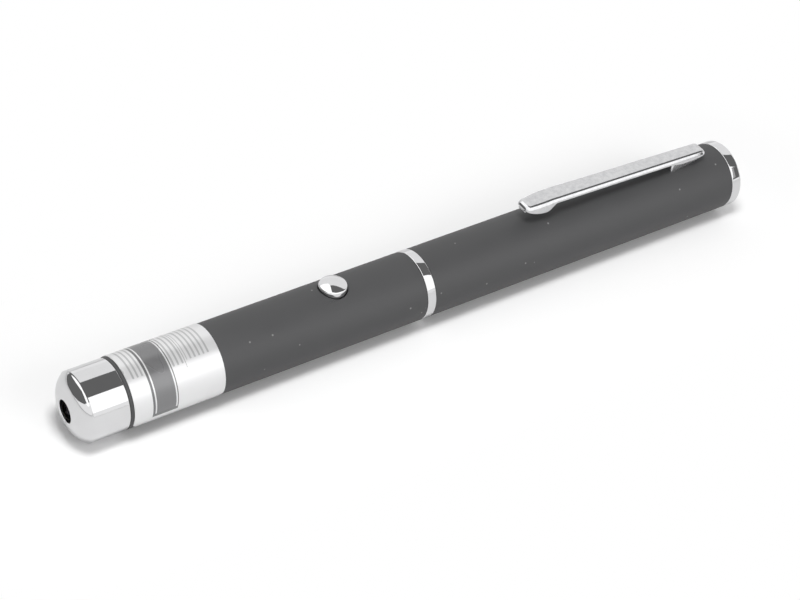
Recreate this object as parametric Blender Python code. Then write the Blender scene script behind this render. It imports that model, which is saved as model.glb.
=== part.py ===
"""A pen-shaped laser pointer, built the way it comes apart on a bench. Metres, +Z up.

The pen lies along X, its nose towards -X, its button and clip on top. The origin is under the
middle of its length, on the surface that its rings rest on. A station is a distance back from the
nose tip, and a height is measured from the pen's own axis.
"""

import math

import bmesh
import bpy
from mathutils import Matrix

MM = 0.001
HALF = 0.5
QUARTER = 0.25

# Clearances
PRESS_FIT = 0.06 * MM
RUNNING_FIT = 0.1 * MM
SEAT_GAP = 0.06 * MM
SOLDER_GAP = 0.2 * MM
CUT_OVERRUN = 1.0 * MM
WELD_DISTANCE = 0.00005 * MM

# Barrels and the rings between them
BARREL_DIAMETER = 14.0 * MM
FRONT_BARREL_WALL = 0.75 * MM
FRONT_BARREL_OVER_CELL = 12.93 * MM
RING_STANDOFF = 0.04 * MM
MID_RING_WIDTH = 1.95 * MM
TAIL_RING_WIDTH = 2.4 * MM
TAIL_RING_ROUND = 0.45 * MM
TAIL_WALL = 1.2 * MM
TAIL_SPIGOT_LENGTH = 3.9 * MM
TAIL_SPIGOT_WALL = 0.6 * MM

# Nose cap
NOSE_CAP_LENGTH = 7.25 * MM
NOSE_DOME_RADIUS = 11.0 * MM
NOSE_RIM_ROUND = 0.15 * MM
APERTURE_DIAMETER = 4.5 * MM
NOSE_FACE_WALL = 1.1 * MM

# Laser module
MODULE_NECK_DIAMETER = 10.4 * MM
MODULE_FRONT_GAP = 0.5 * MM
MODULE_LENGTH = 28.6 * MM
MODULE_SHOULDER_SETBACK = 1.0 * MM
MODULE_BORE = 9.0 * MM
MODULE_REAR_BORE = 9.8 * MM
DIODE_SEAT_DEPTH = 6.2 * MM
DIODE_WEB = 1.8 * MM
DIODE_FLANGE_DIAMETER = 5.6 * MM
DIODE_FLANGE_THICKNESS = 1.2 * MM
DIODE_CAN_DIAMETER = 3.5 * MM
DIODE_CAN_LENGTH = 2.1 * MM
DIODE_LIGHT_HOLE = 1.2 * MM
DIODE_LIGHT_HOLE_DEPTH = 0.4 * MM
LEAD_DIAMETER = 0.45 * MM
LEAD_CIRCLE = 2.54 * MM
LEAD_COUNT = 3
LENS_HOLDER_LENGTH = 5.0 * MM
LENS_HOLDER_LIP = 0.8 * MM
LENS_HOLDER_THROAT = 4.8 * MM
LENS_HOLDER_SETBACK = 0.4 * MM
LENS_DIAMETER = 6.0 * MM
LENS_EDGE = 1.4 * MM
LENS_CROWN = 0.55 * MM
FOCUS_WIRE = 0.4 * MM
FOCUS_SPRING_DIAMETER = 7.6 * MM
FOCUS_SPRING_TURNS = 8

# Driver board, what is on it and what carries it
BOARD_LENGTH = 27.72 * MM
BOARD_WIDTH = 9.4 * MM
BOARD_THICKNESS = 1.0 * MM
BOARD_TOP_HEIGHT = -0.25 * MM
CARRIER_WALL_HEIGHT = 0.6 * MM
CARRIER_TROUGH_WIDTH = 5.0 * MM
CARRIER_TROUGH_DEPTH = 3.0 * MM
CHIP_LENGTH = 4.9 * MM
CHIP_WIDTH = 3.9 * MM
CHIP_HEIGHT = 1.5 * MM
CAPACITOR_LENGTH = 3.5 * MM
CAPACITOR_WIDTH = 2.8 * MM
CAPACITOR_HEIGHT = 1.9 * MM
TRANSISTOR_LENGTH = 1.4 * MM
TRANSISTOR_WIDTH = 2.9 * MM
TRANSISTOR_HEIGHT = 1.1 * MM
TRIM_POT_LENGTH = 3.2 * MM
TRIM_POT_BASE_HEIGHT = 0.8 * MM
TRIM_POT_HEIGHT = 1.5 * MM
TRIM_POT_DIAL_DIAMETER = 2.2 * MM
TRIM_POT_SLOT_WIDTH = 0.5 * MM
TRIM_POT_SLOT_DEPTH = 0.4 * MM
COMPONENT_BEVEL = 0.15 * MM

# Button and the switch under it
BUTTON_DIAMETER = 5.64 * MM
BUTTON_HOLE_DIAMETER = 6.3 * MM
BUTTON_WALL_RISE = 0.55 * MM
BUTTON_DOME_HEIGHT = 0.75 * MM
BUTTON_EDGE_ROUND = 0.2 * MM
BUTTON_FLANGE_DIAMETER = 7.6 * MM
BUTTON_FLANGE_THICKNESS = 0.8 * MM
BUTTON_TRAVEL = 0.5 * MM
BUTTON_SETBACK = 3.5 * MM
SWITCH_WIDTH = 6.0 * MM
SWITCH_BEVEL = 0.3 * MM
PLUNGER_DIAMETER = 3.5 * MM
PLUNGER_ENGAGEMENT = 0.5 * MM

# Cells and the springs that press on them
CELL_DIAMETER = 10.5 * MM
CELL_LENGTH = 44.5 * MM
CELL_NUB_DIAMETER = 3.8 * MM
CELL_NUB_HEIGHT = 0.8 * MM
CELL_EDGE_ROUND = 0.5 * MM
CELL_CLEARANCE = 0.35 * MM
CONTACT_WIRE = 0.4 * MM
CONTACT_SPRING_LENGTH = 1.2 * MM
CONTACT_SPRING_FOOT_DIAMETER = 4.4 * MM
CONTACT_SPRING_TIP_DIAMETER = 2.4 * MM
CONTACT_SPRING_TURNS = 1.5
TAIL_WIRE = 0.5 * MM
TAIL_SPRING_LENGTH = 2.4 * MM
TAIL_SPRING_FOOT_DIAMETER = 8.4 * MM
TAIL_SPRING_TIP_DIAMETER = 4.8 * MM
TAIL_SPRING_TURNS = 2

# Screw joint between the barrels
THREAD_PITCH = 1.0 * MM
THREAD_DEPTH = 0.3 * MM
THREAD_TURNS = 4
THREAD_STEPS_PER_PITCH = 4
THREAD_RELIEF = 0.6 * MM
THREAD_CREST_SHARE = 0.15
COUPLING_SPIGOT_LENGTH = 8.8 * MM
COUPLING_END_LAND = 0.4 * MM

# Foil band round the front barrel
LABEL_LENGTH = 19.0 * MM
LABEL_SETBACK = 0.75 * MM
LABEL_THICKNESS = 0.1 * MM
LABEL_GLUE_GAP = 0.03 * MM
LABEL_CORNER_RADIUS = 1.4 * MM
LABEL_START_DEGREES = -160.0
LABEL_END_DEGREES = 122.0

# Pocket clip, a pressed channel, and the saddle that it grips
CLIP_LENGTH = 46.6 * MM
CLIP_SETBACK = 4.6 * MM
CLIP_SHEET = 0.45 * MM
CLIP_FOLD_RADIUS = 0.35 * MM
CLIP_FRONT_WIDTH = 4.2 * MM
CLIP_REAR_WIDTH = 3.0 * MM
CLIP_FRONT_CORNER = 1.3 * MM
CLIP_REAR_CORNER = 0.7 * MM
CLIP_REAR_RISE = 2.65 * MM
CLIP_CREST_RISE = 4.55 * MM
CLIP_TIP_RISE = 4.3 * MM
CLIP_CREST_SETBACK = 7.4 * MM
CLIP_FLANGE_DEPTH = 1.5 * MM
CLIP_LOBE_DEPTH = 3.15 * MM
CLIP_LOBE_CREST = 4.9 * MM
CLIP_LOBE_END = 8.1 * MM
CLIP_RETURN_LIP_LENGTH = 1.5 * MM
CLIP_RETURN_LIP_GAP = 0.5 * MM
CLIP_HINGE_SETBACK = 0.7 * MM
CLIP_HINGE_RISE = 1.3 * MM
SADDLE_LENGTH = 8.4 * MM
SADDLE_WIDTH = 3.0 * MM
SADDLE_SHOULDER_RISE = 0.95 * MM
SADDLE_TONGUE_GAP = 0.3 * MM
SADDLE_END_GAP = 0.35 * MM
SADDLE_SEAT_GAP = 0.08 * MM
RIVET_DIAMETER = 1.2 * MM
RIVET_HEAD_DIAMETER = 2.6 * MM
RIVET_HEAD_THICKNESS = 0.6 * MM
RIVET_SADDLE_DEPTH = 1.0 * MM

# How finely round shapes are cut
BARREL_SEGMENTS = 48
THREAD_SEGMENTS = 32
SMALL_SEGMENTS = 24
LEAD_SEGMENTS = 8
POINTS_PER_TURN = 10
ROUND_STEPS = 3
DOME_STEPS = 5
FOLD_STEPS = 2
CLIP_FOOT_STEPS = 8
CLIP_ARM_STEPS = 4
SMOOTH_ANGLE = math.radians(32)

# Worked out from the sizes above
BARREL_RADIUS = BARREL_DIAMETER / 2
RING_RADIUS = BARREL_RADIUS + RING_STANDOFF
AXIS_HEIGHT = RING_RADIUS * math.cos(math.pi / BARREL_SEGMENTS)
FRONT_BORE = BARREL_RADIUS - FRONT_BARREL_WALL
INSERT_RADIUS = FRONT_BORE - PRESS_FIT
CELL_BORE = CELL_DIAMETER / 2 + CELL_CLEARANCE
THREAD_ROOT = INSERT_RADIUS - THREAD_DEPTH
THREAD_LENGTH = THREAD_TURNS * THREAD_PITCH


def sagitta(sphere_radius, radius):
    """How far a sphere falls away from its pole at this distance from its axis."""
    return sphere_radius - math.sqrt(sphere_radius**2 - radius**2)


# Stations, from the nose tip to the tail. The barrels are as long as what they hold.
NOSE_RIM = sagitta(NOSE_DOME_RADIUS, BARREL_RADIUS) - sagitta(NOSE_DOME_RADIUS, APERTURE_DIAMETER / 2)
NOSE_REAR = NOSE_RIM + NOSE_CAP_LENGTH
FRONT_BARREL_START = NOSE_REAR + SEAT_GAP
NOSE_CAVITY_START = NOSE_RIM + NOSE_FACE_WALL
MODULE_START = NOSE_CAVITY_START + MODULE_FRONT_GAP
MODULE_SHOULDER = NOSE_REAR + MODULE_SHOULDER_SETBACK
MODULE_END = MODULE_START + MODULE_LENGTH
DIODE_SEAT_END = MODULE_END - DIODE_SEAT_DEPTH
DIODE_SEAT_START = DIODE_SEAT_END - DIODE_FLANGE_THICKNESS - 2 * SEAT_GAP
DIODE_WEB_START = DIODE_SEAT_START - DIODE_WEB
LENS_HOLDER_START = MODULE_START + LENS_HOLDER_SETBACK
LENS_HOLDER_END = LENS_HOLDER_START + LENS_HOLDER_LENGTH
LENS_SEAT = LENS_HOLDER_START + LENS_HOLDER_LIP

BOARD_START = MODULE_END + SEAT_GAP
BOARD_END = BOARD_START + BOARD_LENGTH
BUTTON_STATION = BOARD_END - BUTTON_SETBACK
FRONT_CELL_START = BOARD_END + CONTACT_SPRING_LENGTH + 2 * SOLDER_GAP
REAR_CELL_START = FRONT_CELL_START + CELL_LENGTH + SEAT_GAP
CELL_STACK_END = REAR_CELL_START + CELL_LENGTH
PEN_LENGTH = CELL_STACK_END + TAIL_SPRING_LENGTH + 2 * SOLDER_GAP + TAIL_WALL
TAIL_RING_START = PEN_LENGTH - TAIL_RING_WIDTH
REAR_BARREL_END = TAIL_RING_START - SEAT_GAP

# The barrels part over the front cell, with the ring between them
FRONT_BARREL_END = FRONT_CELL_START + FRONT_BARREL_OVER_CELL
MID_RING_START = FRONT_BARREL_END + SEAT_GAP
MID_RING_END = MID_RING_START + MID_RING_WIDTH
REAR_BARREL_START = MID_RING_END + SEAT_GAP

# The board's parts are spread evenly ahead of the switch, from the module's end backwards
COMPONENT_LENGTHS = (TRANSISTOR_LENGTH, TRIM_POT_LENGTH, CHIP_LENGTH, CAPACITOR_LENGTH)
BOARD_FREE_LENGTH = BUTTON_STATION - SWITCH_WIDTH / 2 - BOARD_START
COMPONENT_GAP = (BOARD_FREE_LENGTH - sum(COMPONENT_LENGTHS)) / (len(COMPONENT_LENGTHS) + 1)

COUPLING_START = FRONT_BARREL_END - COUPLING_SPIGOT_LENGTH
THREAD_START = REAR_BARREL_START + COUPLING_END_LAND
THREAD_END = THREAD_START + THREAD_LENGTH
COUPLING_END = THREAD_END + COUPLING_END_LAND
TAIL_SPIGOT_START = REAR_BARREL_END - TAIL_SPIGOT_LENGTH
LABEL_START = NOSE_REAR + LABEL_SETBACK

CLIP_REAR = REAR_BARREL_END - CLIP_SETBACK
CLIP_TIP = CLIP_REAR - CLIP_LENGTH
CLIP_HINGE_STATION = CLIP_REAR - CLIP_HINGE_SETBACK
CLIP_HINGE_HEIGHT = BARREL_RADIUS + CLIP_HINGE_RISE
SADDLE_END = CLIP_REAR - CLIP_SHEET - SADDLE_END_GAP
SADDLE_START = SADDLE_END - SADDLE_LENGTH
SADDLE_SEAT = BARREL_RADIUS + SADDLE_SEAT_GAP
RIVET_STATION = (SADDLE_START + SADDLE_END) / 2
RIVET_TOP = SADDLE_SEAT + RIVET_SADDLE_DEPTH

# Heights of the button and its switch, from the pen's axis
FLANGE_EDGE_CEILING = math.sqrt(FRONT_BORE**2 - (BUTTON_FLANGE_DIAMETER / 2) ** 2)
BUTTON_FLANGE_TOP = FLANGE_EDGE_CEILING - RUNNING_FIT
BUTTON_FLANGE_BOTTOM = BUTTON_FLANGE_TOP - BUTTON_FLANGE_THICKNESS
BUTTON_WALL_TOP = BARREL_RADIUS + BUTTON_WALL_RISE
PLUNGER_TOP = BUTTON_FLANGE_BOTTOM - SEAT_GAP
SWITCH_TOP = BUTTON_FLANGE_BOTTOM - BUTTON_TRAVEL - RUNNING_FIT
SWITCH_BOTTOM = BOARD_TOP_HEIGHT + SEAT_GAP
PLUNGER_BOTTOM = SWITCH_TOP - PLUNGER_ENGAGEMENT
SWITCH_WELL_BOTTOM = PLUNGER_BOTTOM - BUTTON_TRAVEL - RUNNING_FIT
BOARD_BOTTOM_HEIGHT = BOARD_TOP_HEIGHT - BOARD_THICKNESS


def clear_scene():
    """Remove whatever the scene starts with."""
    for obj in list(bpy.data.objects):
        bpy.data.objects.remove(obj)


def make_material(name, colour, metallic, roughness, transmission=0.0):
    """A plain surface: base colour as linear RGB, metallic and roughness."""
    material = bpy.data.materials.new(name)
    material.use_nodes = True
    shader = material.node_tree.nodes["Principled BSDF"]
    shader.inputs["Base Color"].default_value = (*colour, 1.0)
    shader.inputs["Metallic"].default_value = metallic
    shader.inputs["Roughness"].default_value = roughness
    shader.inputs["Transmission Weight"].default_value = transmission
    material.diffuse_color = (*colour, 1.0)
    return material


def make_materials():
    """The finishes of the pen's pieces."""
    return {
        "chrome": make_material("chrome", (0.78, 0.78, 0.79), 1.0, 0.08),
        "painted_barrel": make_material("painted_barrel", (0.11, 0.11, 0.11), 0.0, 0.5),
        "foil": make_material("foil", (0.72, 0.72, 0.72), 1.0, 0.3),
        "brass": make_material("brass", (0.68, 0.5, 0.22), 1.0, 0.3),
        "spring_steel": make_material("spring_steel", (0.55, 0.55, 0.56), 1.0, 0.3),
        "lens_glass": make_material("lens_glass", (0.9, 0.95, 0.95), 0.0, 0.03, 0.9),
        "circuit_board": make_material("circuit_board", (0.02, 0.16, 0.06), 0.0, 0.4),
        "black_plastic": make_material("black_plastic", (0.02, 0.02, 0.02), 0.0, 0.5),
        "grey_plastic": make_material("grey_plastic", (0.3, 0.3, 0.3), 0.0, 0.5),
        "cell_wrap": make_material("cell_wrap", (0.05, 0.07, 0.12), 0.0, 0.35),
    }


def station(distance):
    """World X of a distance back from the nose tip."""
    return distance - PEN_LENGTH / 2


def place(obj, at, height=0.0, parent=None):
    """Set an object at a station and a height over the pen's axis, keeping it there under a parent."""
    obj.location = (station(at), 0.0, AXIS_HEIGHT + height)
    obj.parent = parent
    while parent is not None:
        obj.location -= parent.location
        parent = parent.parent


def finish_object(name, bm, material, at, height=0.0, parent=None):
    """Turn a bmesh into a smooth-shaded object at its place."""
    bmesh.ops.remove_doubles(bm, verts=bm.verts, dist=WELD_DISTANCE)
    bmesh.ops.recalc_face_normals(bm, faces=bm.faces)
    mesh = bpy.data.meshes.new(name)
    bm.to_mesh(mesh)
    bm.free()
    mesh.shade_smooth()
    mesh.set_sharp_from_angle(angle=SMOOTH_ANGLE)
    obj = bpy.data.objects.new(name, mesh)
    bpy.context.scene.collection.objects.link(obj)
    place(obj, at, height, parent)
    if material is not None:
        mesh.materials.append(material)
    return obj


def make_pivot(name, at, height=0.0, parent=None):
    """An empty on a joint's axis, for the pieces that move with it."""
    pivot = bpy.data.objects.new(name, None)
    bpy.context.scene.collection.objects.link(pivot)
    place(pivot, at, height, parent)
    return pivot


def round_corner(centre, radius, start_degrees, end_degrees, steps=ROUND_STEPS):
    """Points along an arc of an outline, from one angle to another."""
    points = []
    for step in range(steps + 1):
        angle = math.radians(start_degrees + (end_degrees - start_degrees) * step / steps)
        points.append((centre[0] + radius * math.cos(angle), centre[1] + radius * math.sin(angle)))
    return points


def turned(name, outline, material, at, parent=None, segments=BARREL_SEGMENTS):
    """A piece turned about the pen's axis, from its outline of (station, radius) points.

    An outline that starts and ends on the axis is a solid; any other is closed into a ring. Half a
    segment's turn sets a flat underneath, so that the pen lies still.
    """
    bm = bmesh.new()
    points = [bm.verts.new((x - at, 0.0, radius)) for x, radius in outline]
    edges = [bm.edges.new(pair) for pair in zip(points, points[1:])]
    if outline[0][1] > 0 or outline[-1][1] > 0:
        edges.append(bm.edges.new((points[-1], points[0])))
    spin(bm, points + edges, (1, 0, 0), segments)
    half_turn = Matrix.Rotation(math.pi / segments, 3, "X")
    bmesh.ops.rotate(bm, cent=(0, 0, 0), matrix=half_turn, verts=bm.verts)
    return finish_object(name, bm, material, at, parent=parent)


def upright(name, outline, material, at, parent=None, segments=SMALL_SEGMENTS):
    """A piece turned about a vertical line, from its outline of (height, radius) points."""
    bm = bmesh.new()
    points = [bm.verts.new((radius, 0.0, height)) for height, radius in outline]
    edges = [bm.edges.new(pair) for pair in zip(points, points[1:])]
    if outline[0][1] > 0 or outline[-1][1] > 0:
        edges.append(bm.edges.new((points[-1], points[0])))
    spin(bm, points + edges, (0, 0, 1), segments)
    return finish_object(name, bm, material, at, parent=parent)


def spin(bm, geometry, axis, segments):
    """Sweep an outline once round an axis through the bmesh's origin."""
    bmesh.ops.spin(
        bm, geom=geometry, cent=(0, 0, 0), axis=axis, angle=math.tau, steps=segments, use_merge=True
    )


def bridge_rows(bm, rows):
    """Skin a row of closed loops that have as many points each."""
    count = len(rows[0])
    for first, second in zip(rows, rows[1:]):
        for i in range(count):
            j = (i + 1) % count
            bm.faces.new((first[i], first[j], second[j], second[i]))


def ringed(name, outline_at, material, at, parent=None, segments=THREAD_SEGMENTS):
    """A ring round the pen's axis whose outline of (station, radius) points changes with the angle."""
    bm = bmesh.new()
    rings = []
    for segment in range(segments):
        angle = math.tau * (segment + HALF) / segments
        rings.append(
            [
                bm.verts.new((x - at, radius * math.cos(angle), radius * math.sin(angle)))
                for x, radius in outline_at(angle)
            ]
        )
    bridge_rows(bm, rings + rings[:1])
    return finish_object(name, bm, material, at, parent=parent)


def block(name, size, at, centre, material, bevel, parent=None):
    """A box with eased edges, its centre at a station, a side offset and a height."""
    bm = bmesh.new()
    bmesh.ops.create_cube(bm, size=1.0)
    bmesh.ops.scale(bm, vec=size, verts=bm.verts)
    bmesh.ops.translate(bm, vec=(0, centre[0], 0), verts=bm.verts)
    if bevel > 0:
        bmesh.ops.bevel(
            bm, geom=bm.edges[:], offset=bevel, offset_type="OFFSET", segments=1, profile=0.5,
            affect="EDGES", material=-1
        )
    return finish_object(name, bm, material, at, centre[1], parent)


def extruded(name, section, start, end, material, parent=None):
    """A prism along the pen, from a closed section of (side, height) points."""
    bm = bmesh.new()
    face = bm.faces.new([bm.verts.new((0.0, side, height)) for side, height in section])
    made = bmesh.ops.extrude_face_region(bm, geom=[face])
    moved = [item for item in made["geom"] if isinstance(item, bmesh.types.BMVert)]
    bmesh.ops.translate(bm, vec=(end - start, 0, 0), verts=moved)
    return finish_object(name, bm, material, start, parent=parent)


def lofted(name, sections, material, at, height, parent=None):
    """A solid through a row of (station, side and height points) sections with flat ends."""
    bm = bmesh.new()
    loops = [
        [bm.verts.new((x - at, side, rise - height)) for side, rise in points] for x, points in sections
    ]
    bridge_rows(bm, loops)
    bm.faces.new(loops[0])
    bm.faces.new(loops[-1])
    return finish_object(name, bm, material, at, height, parent)


def coil(name, start, end, start_diameter, end_diameter, turns, wire, material, parent=None):
    """A spring round the pen's axis: one unbroken wire between two stations of its outer faces."""
    count = round(turns * POINTS_PER_TURN) + 1
    curve = bpy.data.curves.new(name, "CURVE")
    curve.dimensions = "3D"
    curve.bevel_depth = wire / 2
    curve.bevel_resolution = 1
    curve.use_fill_caps = True
    line = curve.splines.new("POLY")
    line.points.add(count - 1)
    for index, point in enumerate(line.points):
        share = index / (count - 1)
        angle = math.tau * turns * share
        radius = (start_diameter + (end_diameter - start_diameter) * share) / 2 - wire / 2
        x = wire / 2 + (end - start - wire) * share
        point.co = (x, radius * math.cos(angle), radius * math.sin(angle), 1.0)
    curve.materials.append(material)
    obj = bpy.data.objects.new(name, curve)
    bpy.context.scene.collection.objects.link(obj)
    place(obj, start, parent=parent)
    return obj


def cut(obj, cutter, operation="DIFFERENCE"):
    """Cut a helper's shape out of an object, or join it on, and keep the helper out of sight."""
    modifier = obj.modifiers.new(cutter.name, "BOOLEAN")
    modifier.operation = operation
    modifier.solver = "EXACT"
    modifier.object = cutter
    cutter.hide_render = True
    cutter.display_type = "WIRE"


def thread_rise(x, angle):
    """How far a right-hand thread stands at a place: 0 at its root, 1 at its crest."""
    phase = ((x - THREAD_START) / THREAD_PITCH - angle / math.tau) % 1.0
    slope = 1.0 - abs(2.0 * phase - 1.0)
    return min(1.0, max(0.0, (slope - THREAD_CREST_SHARE) / (1.0 - 2.0 * THREAD_CREST_SHARE)))


def thread_stations(start, end):
    """Stations a fixed step apart along a thread."""
    steps = max(1, round((end - start) / THREAD_PITCH * THREAD_STEPS_PER_PITCH))
    return [start + (end - start) * step / steps for step in range(steps + 1)]


def make_nose_cap(materials):
    """Turned chrome cap: a crisp rim, a shallow dome and the beam's aperture."""
    aperture = APERTURE_DIAMETER / 2
    bore = MODULE_NECK_DIAMETER / 2 + PRESS_FIT
    dome = []
    for step in range(DOME_STEPS + 1):
        radius = aperture + (BARREL_RADIUS - NOSE_RIM_ROUND - aperture) * step / DOME_STEPS
        fall = sagitta(NOSE_DOME_RADIUS, radius) - sagitta(NOSE_DOME_RADIUS, aperture)
        dome.append((fall, radius))
    outline = dome + [
        (NOSE_RIM + NOSE_RIM_ROUND, BARREL_RADIUS),
        (NOSE_REAR, BARREL_RADIUS),
        (NOSE_REAR, bore),
        (NOSE_CAVITY_START, bore),
        (NOSE_CAVITY_START, aperture + NOSE_FACE_WALL),
        (NOSE_FACE_WALL, aperture),
    ]
    turned("nose_cap", outline, materials["chrome"], 0.0)


def make_module_housing(materials):
    """Brass tube that fills the barrel's nose end: its neck carries the cap, its web the diode."""
    neck = MODULE_NECK_DIAMETER / 2
    bore = MODULE_BORE / 2
    rear_bore = MODULE_REAR_BORE / 2
    flange = DIODE_FLANGE_DIAMETER / 2
    can = DIODE_CAN_DIAMETER / 2
    turned(
        "module_housing",
        [
            (MODULE_START, neck),
            (MODULE_SHOULDER, neck),
            (MODULE_SHOULDER, INSERT_RADIUS),
            (MODULE_END, INSERT_RADIUS),
            (MODULE_END, rear_bore),
            (DIODE_SEAT_END, rear_bore),
            (DIODE_SEAT_END, flange + PRESS_FIT),
            (DIODE_SEAT_START, flange + PRESS_FIT),
            (DIODE_SEAT_START, can + RUNNING_FIT),
            (DIODE_WEB_START, can + RUNNING_FIT),
            (DIODE_WEB_START, bore),
            (MODULE_START, bore),
        ],
        materials["brass"],
        MODULE_START,
    )


def make_lens_holder(materials):
    """Brass ring in the housing's bore, with a lip that the lens sits against."""
    holder = MODULE_BORE / 2 - RUNNING_FIT
    lens = LENS_DIAMETER / 2
    turned(
        "lens_holder",
        [
            (LENS_HOLDER_START, LENS_HOLDER_THROAT / 2),
            (LENS_HOLDER_START, holder),
            (LENS_HOLDER_END, holder),
            (LENS_HOLDER_END, lens + PRESS_FIT),
            (LENS_SEAT, lens + PRESS_FIT),
            (LENS_SEAT, LENS_HOLDER_THROAT / 2),
        ],
        materials["brass"],
        LENS_HOLDER_START,
    )


def make_lens(materials):
    """Glass lens that makes the diode's light into a beam: flat in front, domed behind."""
    lens = LENS_DIAMETER / 2
    lens_face = LENS_SEAT + SEAT_GAP
    crown = []
    for step in range(DOME_STEPS + 1):
        share = 1 - step / DOME_STEPS
        crown.append((lens_face + LENS_EDGE + LENS_CROWN * (1 - share**2), lens * share))
    turned(
        "collimating_lens",
        [(lens_face, 0.0), (lens_face, lens)] + crown,
        materials["lens_glass"],
        lens_face,
        segments=SMALL_SEGMENTS,
    )


def make_focus_spring(materials):
    """Spring that holds the lens holder off the diode."""
    coil(
        "focus_spring",
        LENS_HOLDER_END + SOLDER_GAP,
        DIODE_WEB_START - SOLDER_GAP,
        FOCUS_SPRING_DIAMETER,
        FOCUS_SPRING_DIAMETER,
        FOCUS_SPRING_TURNS,
        FOCUS_WIRE,
        materials["spring_steel"],
    )


def make_diode(materials):
    """Laser diode: a flanged can with its light's hole in front and its leads behind."""
    flange = DIODE_FLANGE_DIAMETER / 2
    can = DIODE_CAN_DIAMETER / 2
    face = DIODE_SEAT_START + SEAT_GAP
    back = face + DIODE_FLANGE_THICKNESS
    tip = face - DIODE_CAN_LENGTH
    diode = turned(
        "laser_diode",
        [
            (tip + DIODE_LIGHT_HOLE_DEPTH, 0.0),
            (tip + DIODE_LIGHT_HOLE_DEPTH, DIODE_LIGHT_HOLE / 2),
            (tip, DIODE_LIGHT_HOLE / 2),
            (tip, can),
            (face, can),
            (face, flange),
            (back, flange),
            (back, 0.0),
        ],
        materials["brass"],
        tip,
        segments=SMALL_SEGMENTS,
    )
    lead_start = back - DIODE_FLANGE_THICKNESS / 2
    lead_end = BOARD_START - SOLDER_GAP
    for index in range(LEAD_COUNT):
        angle = math.tau * (index / LEAD_COUNT + QUARTER)
        middle = (LEAD_CIRCLE / 2 * math.cos(angle), LEAD_CIRCLE / 2 * math.sin(angle))
        section = round_corner(middle, LEAD_DIAMETER / 2, 0, 360, LEAD_SEGMENTS)[:-1]
        cut(diode, extruded(f"lead_{index}", section, lead_start, lead_end, None), "UNION")


def make_front_barrel(materials):
    """Painted front tube with the button's hole in its top."""
    barrel = turned(
        "front_barrel",
        [
            (FRONT_BARREL_START, BARREL_RADIUS),
            (FRONT_BARREL_END, BARREL_RADIUS),
            (FRONT_BARREL_END, FRONT_BORE),
            (FRONT_BARREL_START, FRONT_BORE),
        ],
        materials["painted_barrel"],
        FRONT_BARREL_START,
    )
    hole = BUTTON_HOLE_DIAMETER / 2
    hole_cutter = upright(
        "button_hole",
        [(0.0, 0.0), (0.0, hole), (BARREL_RADIUS + CUT_OVERRUN, hole), (BARREL_RADIUS + CUT_OVERRUN, 0.0)],
        None,
        BUTTON_STATION,
    )
    cut(barrel, hole_cutter)


def make_label(materials):
    """Foil band wrapped most of the way round the barrel, with rounded corners."""
    inner = BARREL_RADIUS + LABEL_GLUE_GAP
    outer = inner + LABEL_THICKNESS
    corner_angle = LABEL_CORNER_RADIUS / outer
    start = math.radians(LABEL_START_DEGREES)
    end = math.radians(LABEL_END_DEGREES)
    steps = round((end - start) / math.tau * BARREL_SEGMENTS)
    angles = [
        start + corner_angle * (1 - math.cos(math.pi / 2 * i / ROUND_STEPS)) for i in range(ROUND_STEPS)
    ]
    angles += [
        start + corner_angle + (end - start - 2 * corner_angle) * step / steps for step in range(steps + 1)
    ]
    angles += [end - (angle - start) for angle in reversed(angles[:ROUND_STEPS])]
    bm = bmesh.new()
    columns = []
    for angle in angles:
        nearest = min(angle - start, end - angle, corner_angle) / corner_angle
        inset = LABEL_CORNER_RADIUS * (1 - math.sqrt(1 - (1 - nearest) ** 2))
        columns.append(
            [
                bm.verts.new((x, -radius * math.sin(angle), radius * math.cos(angle)))
                for x, radius in (
                    (inset, inner),
                    (LABEL_LENGTH - inset, inner),
                    (LABEL_LENGTH - inset, outer),
                    (inset, outer),
                )
            ]
        )
    bridge_rows(bm, columns)
    bm.faces.new(columns[0])
    bm.faces.new(columns[-1])
    finish_object("label_band", bm, materials["foil"], LABEL_START)


def make_board_carrier(materials):
    """Moulded cradle that fills the lower half of the barrel's bore under the board."""
    carrier_radius = FRONT_BORE - RUNNING_FIT
    board_half = BOARD_WIDTH / 2
    floor_height = BOARD_BOTTOM_HEIGHT - SEAT_GAP
    pocket_half = board_half + SEAT_GAP
    trough_half = CARRIER_TROUGH_WIDTH / 2
    top_angle = math.degrees(math.asin(CARRIER_WALL_HEIGHT / carrier_radius))
    section = round_corner((0, 0), carrier_radius, top_angle, -180 - top_angle, SMALL_SEGMENTS)
    section += [
        (-pocket_half, CARRIER_WALL_HEIGHT),
        (-pocket_half, floor_height),
        (-trough_half, floor_height),
        (-trough_half, floor_height - CARRIER_TROUGH_DEPTH),
        (trough_half, floor_height - CARRIER_TROUGH_DEPTH),
        (trough_half, floor_height),
        (pocket_half, floor_height),
        (pocket_half, CARRIER_WALL_HEIGHT),
    ]
    extruded("board_carrier", section, BOARD_START, BOARD_END, materials["black_plastic"])


def make_board(materials):
    """Driver board, with the parts soldered along its top."""
    block(
        "driver_board",
        (BOARD_LENGTH, BOARD_WIDTH, BOARD_THICKNESS),
        (BOARD_START + BOARD_END) / 2,
        (0, BOARD_TOP_HEIGHT - BOARD_THICKNESS / 2),
        materials["circuit_board"],
        0.0,
    )
    make_component("power_transistor", 0, TRANSISTOR_WIDTH, TRANSISTOR_HEIGHT, materials["black_plastic"])
    make_component("driver_chip", 2, CHIP_WIDTH, CHIP_HEIGHT, materials["black_plastic"])
    make_component("capacitor", 3, CAPACITOR_WIDTH, CAPACITOR_HEIGHT, materials["grey_plastic"])


def component_station(index):
    """Station of the middle of one of the board's parts, counted from the module's end."""
    before = sum(COMPONENT_LENGTHS[:index]) + (index + 1) * COMPONENT_GAP
    return BOARD_START + before + COMPONENT_LENGTHS[index] / 2


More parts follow.
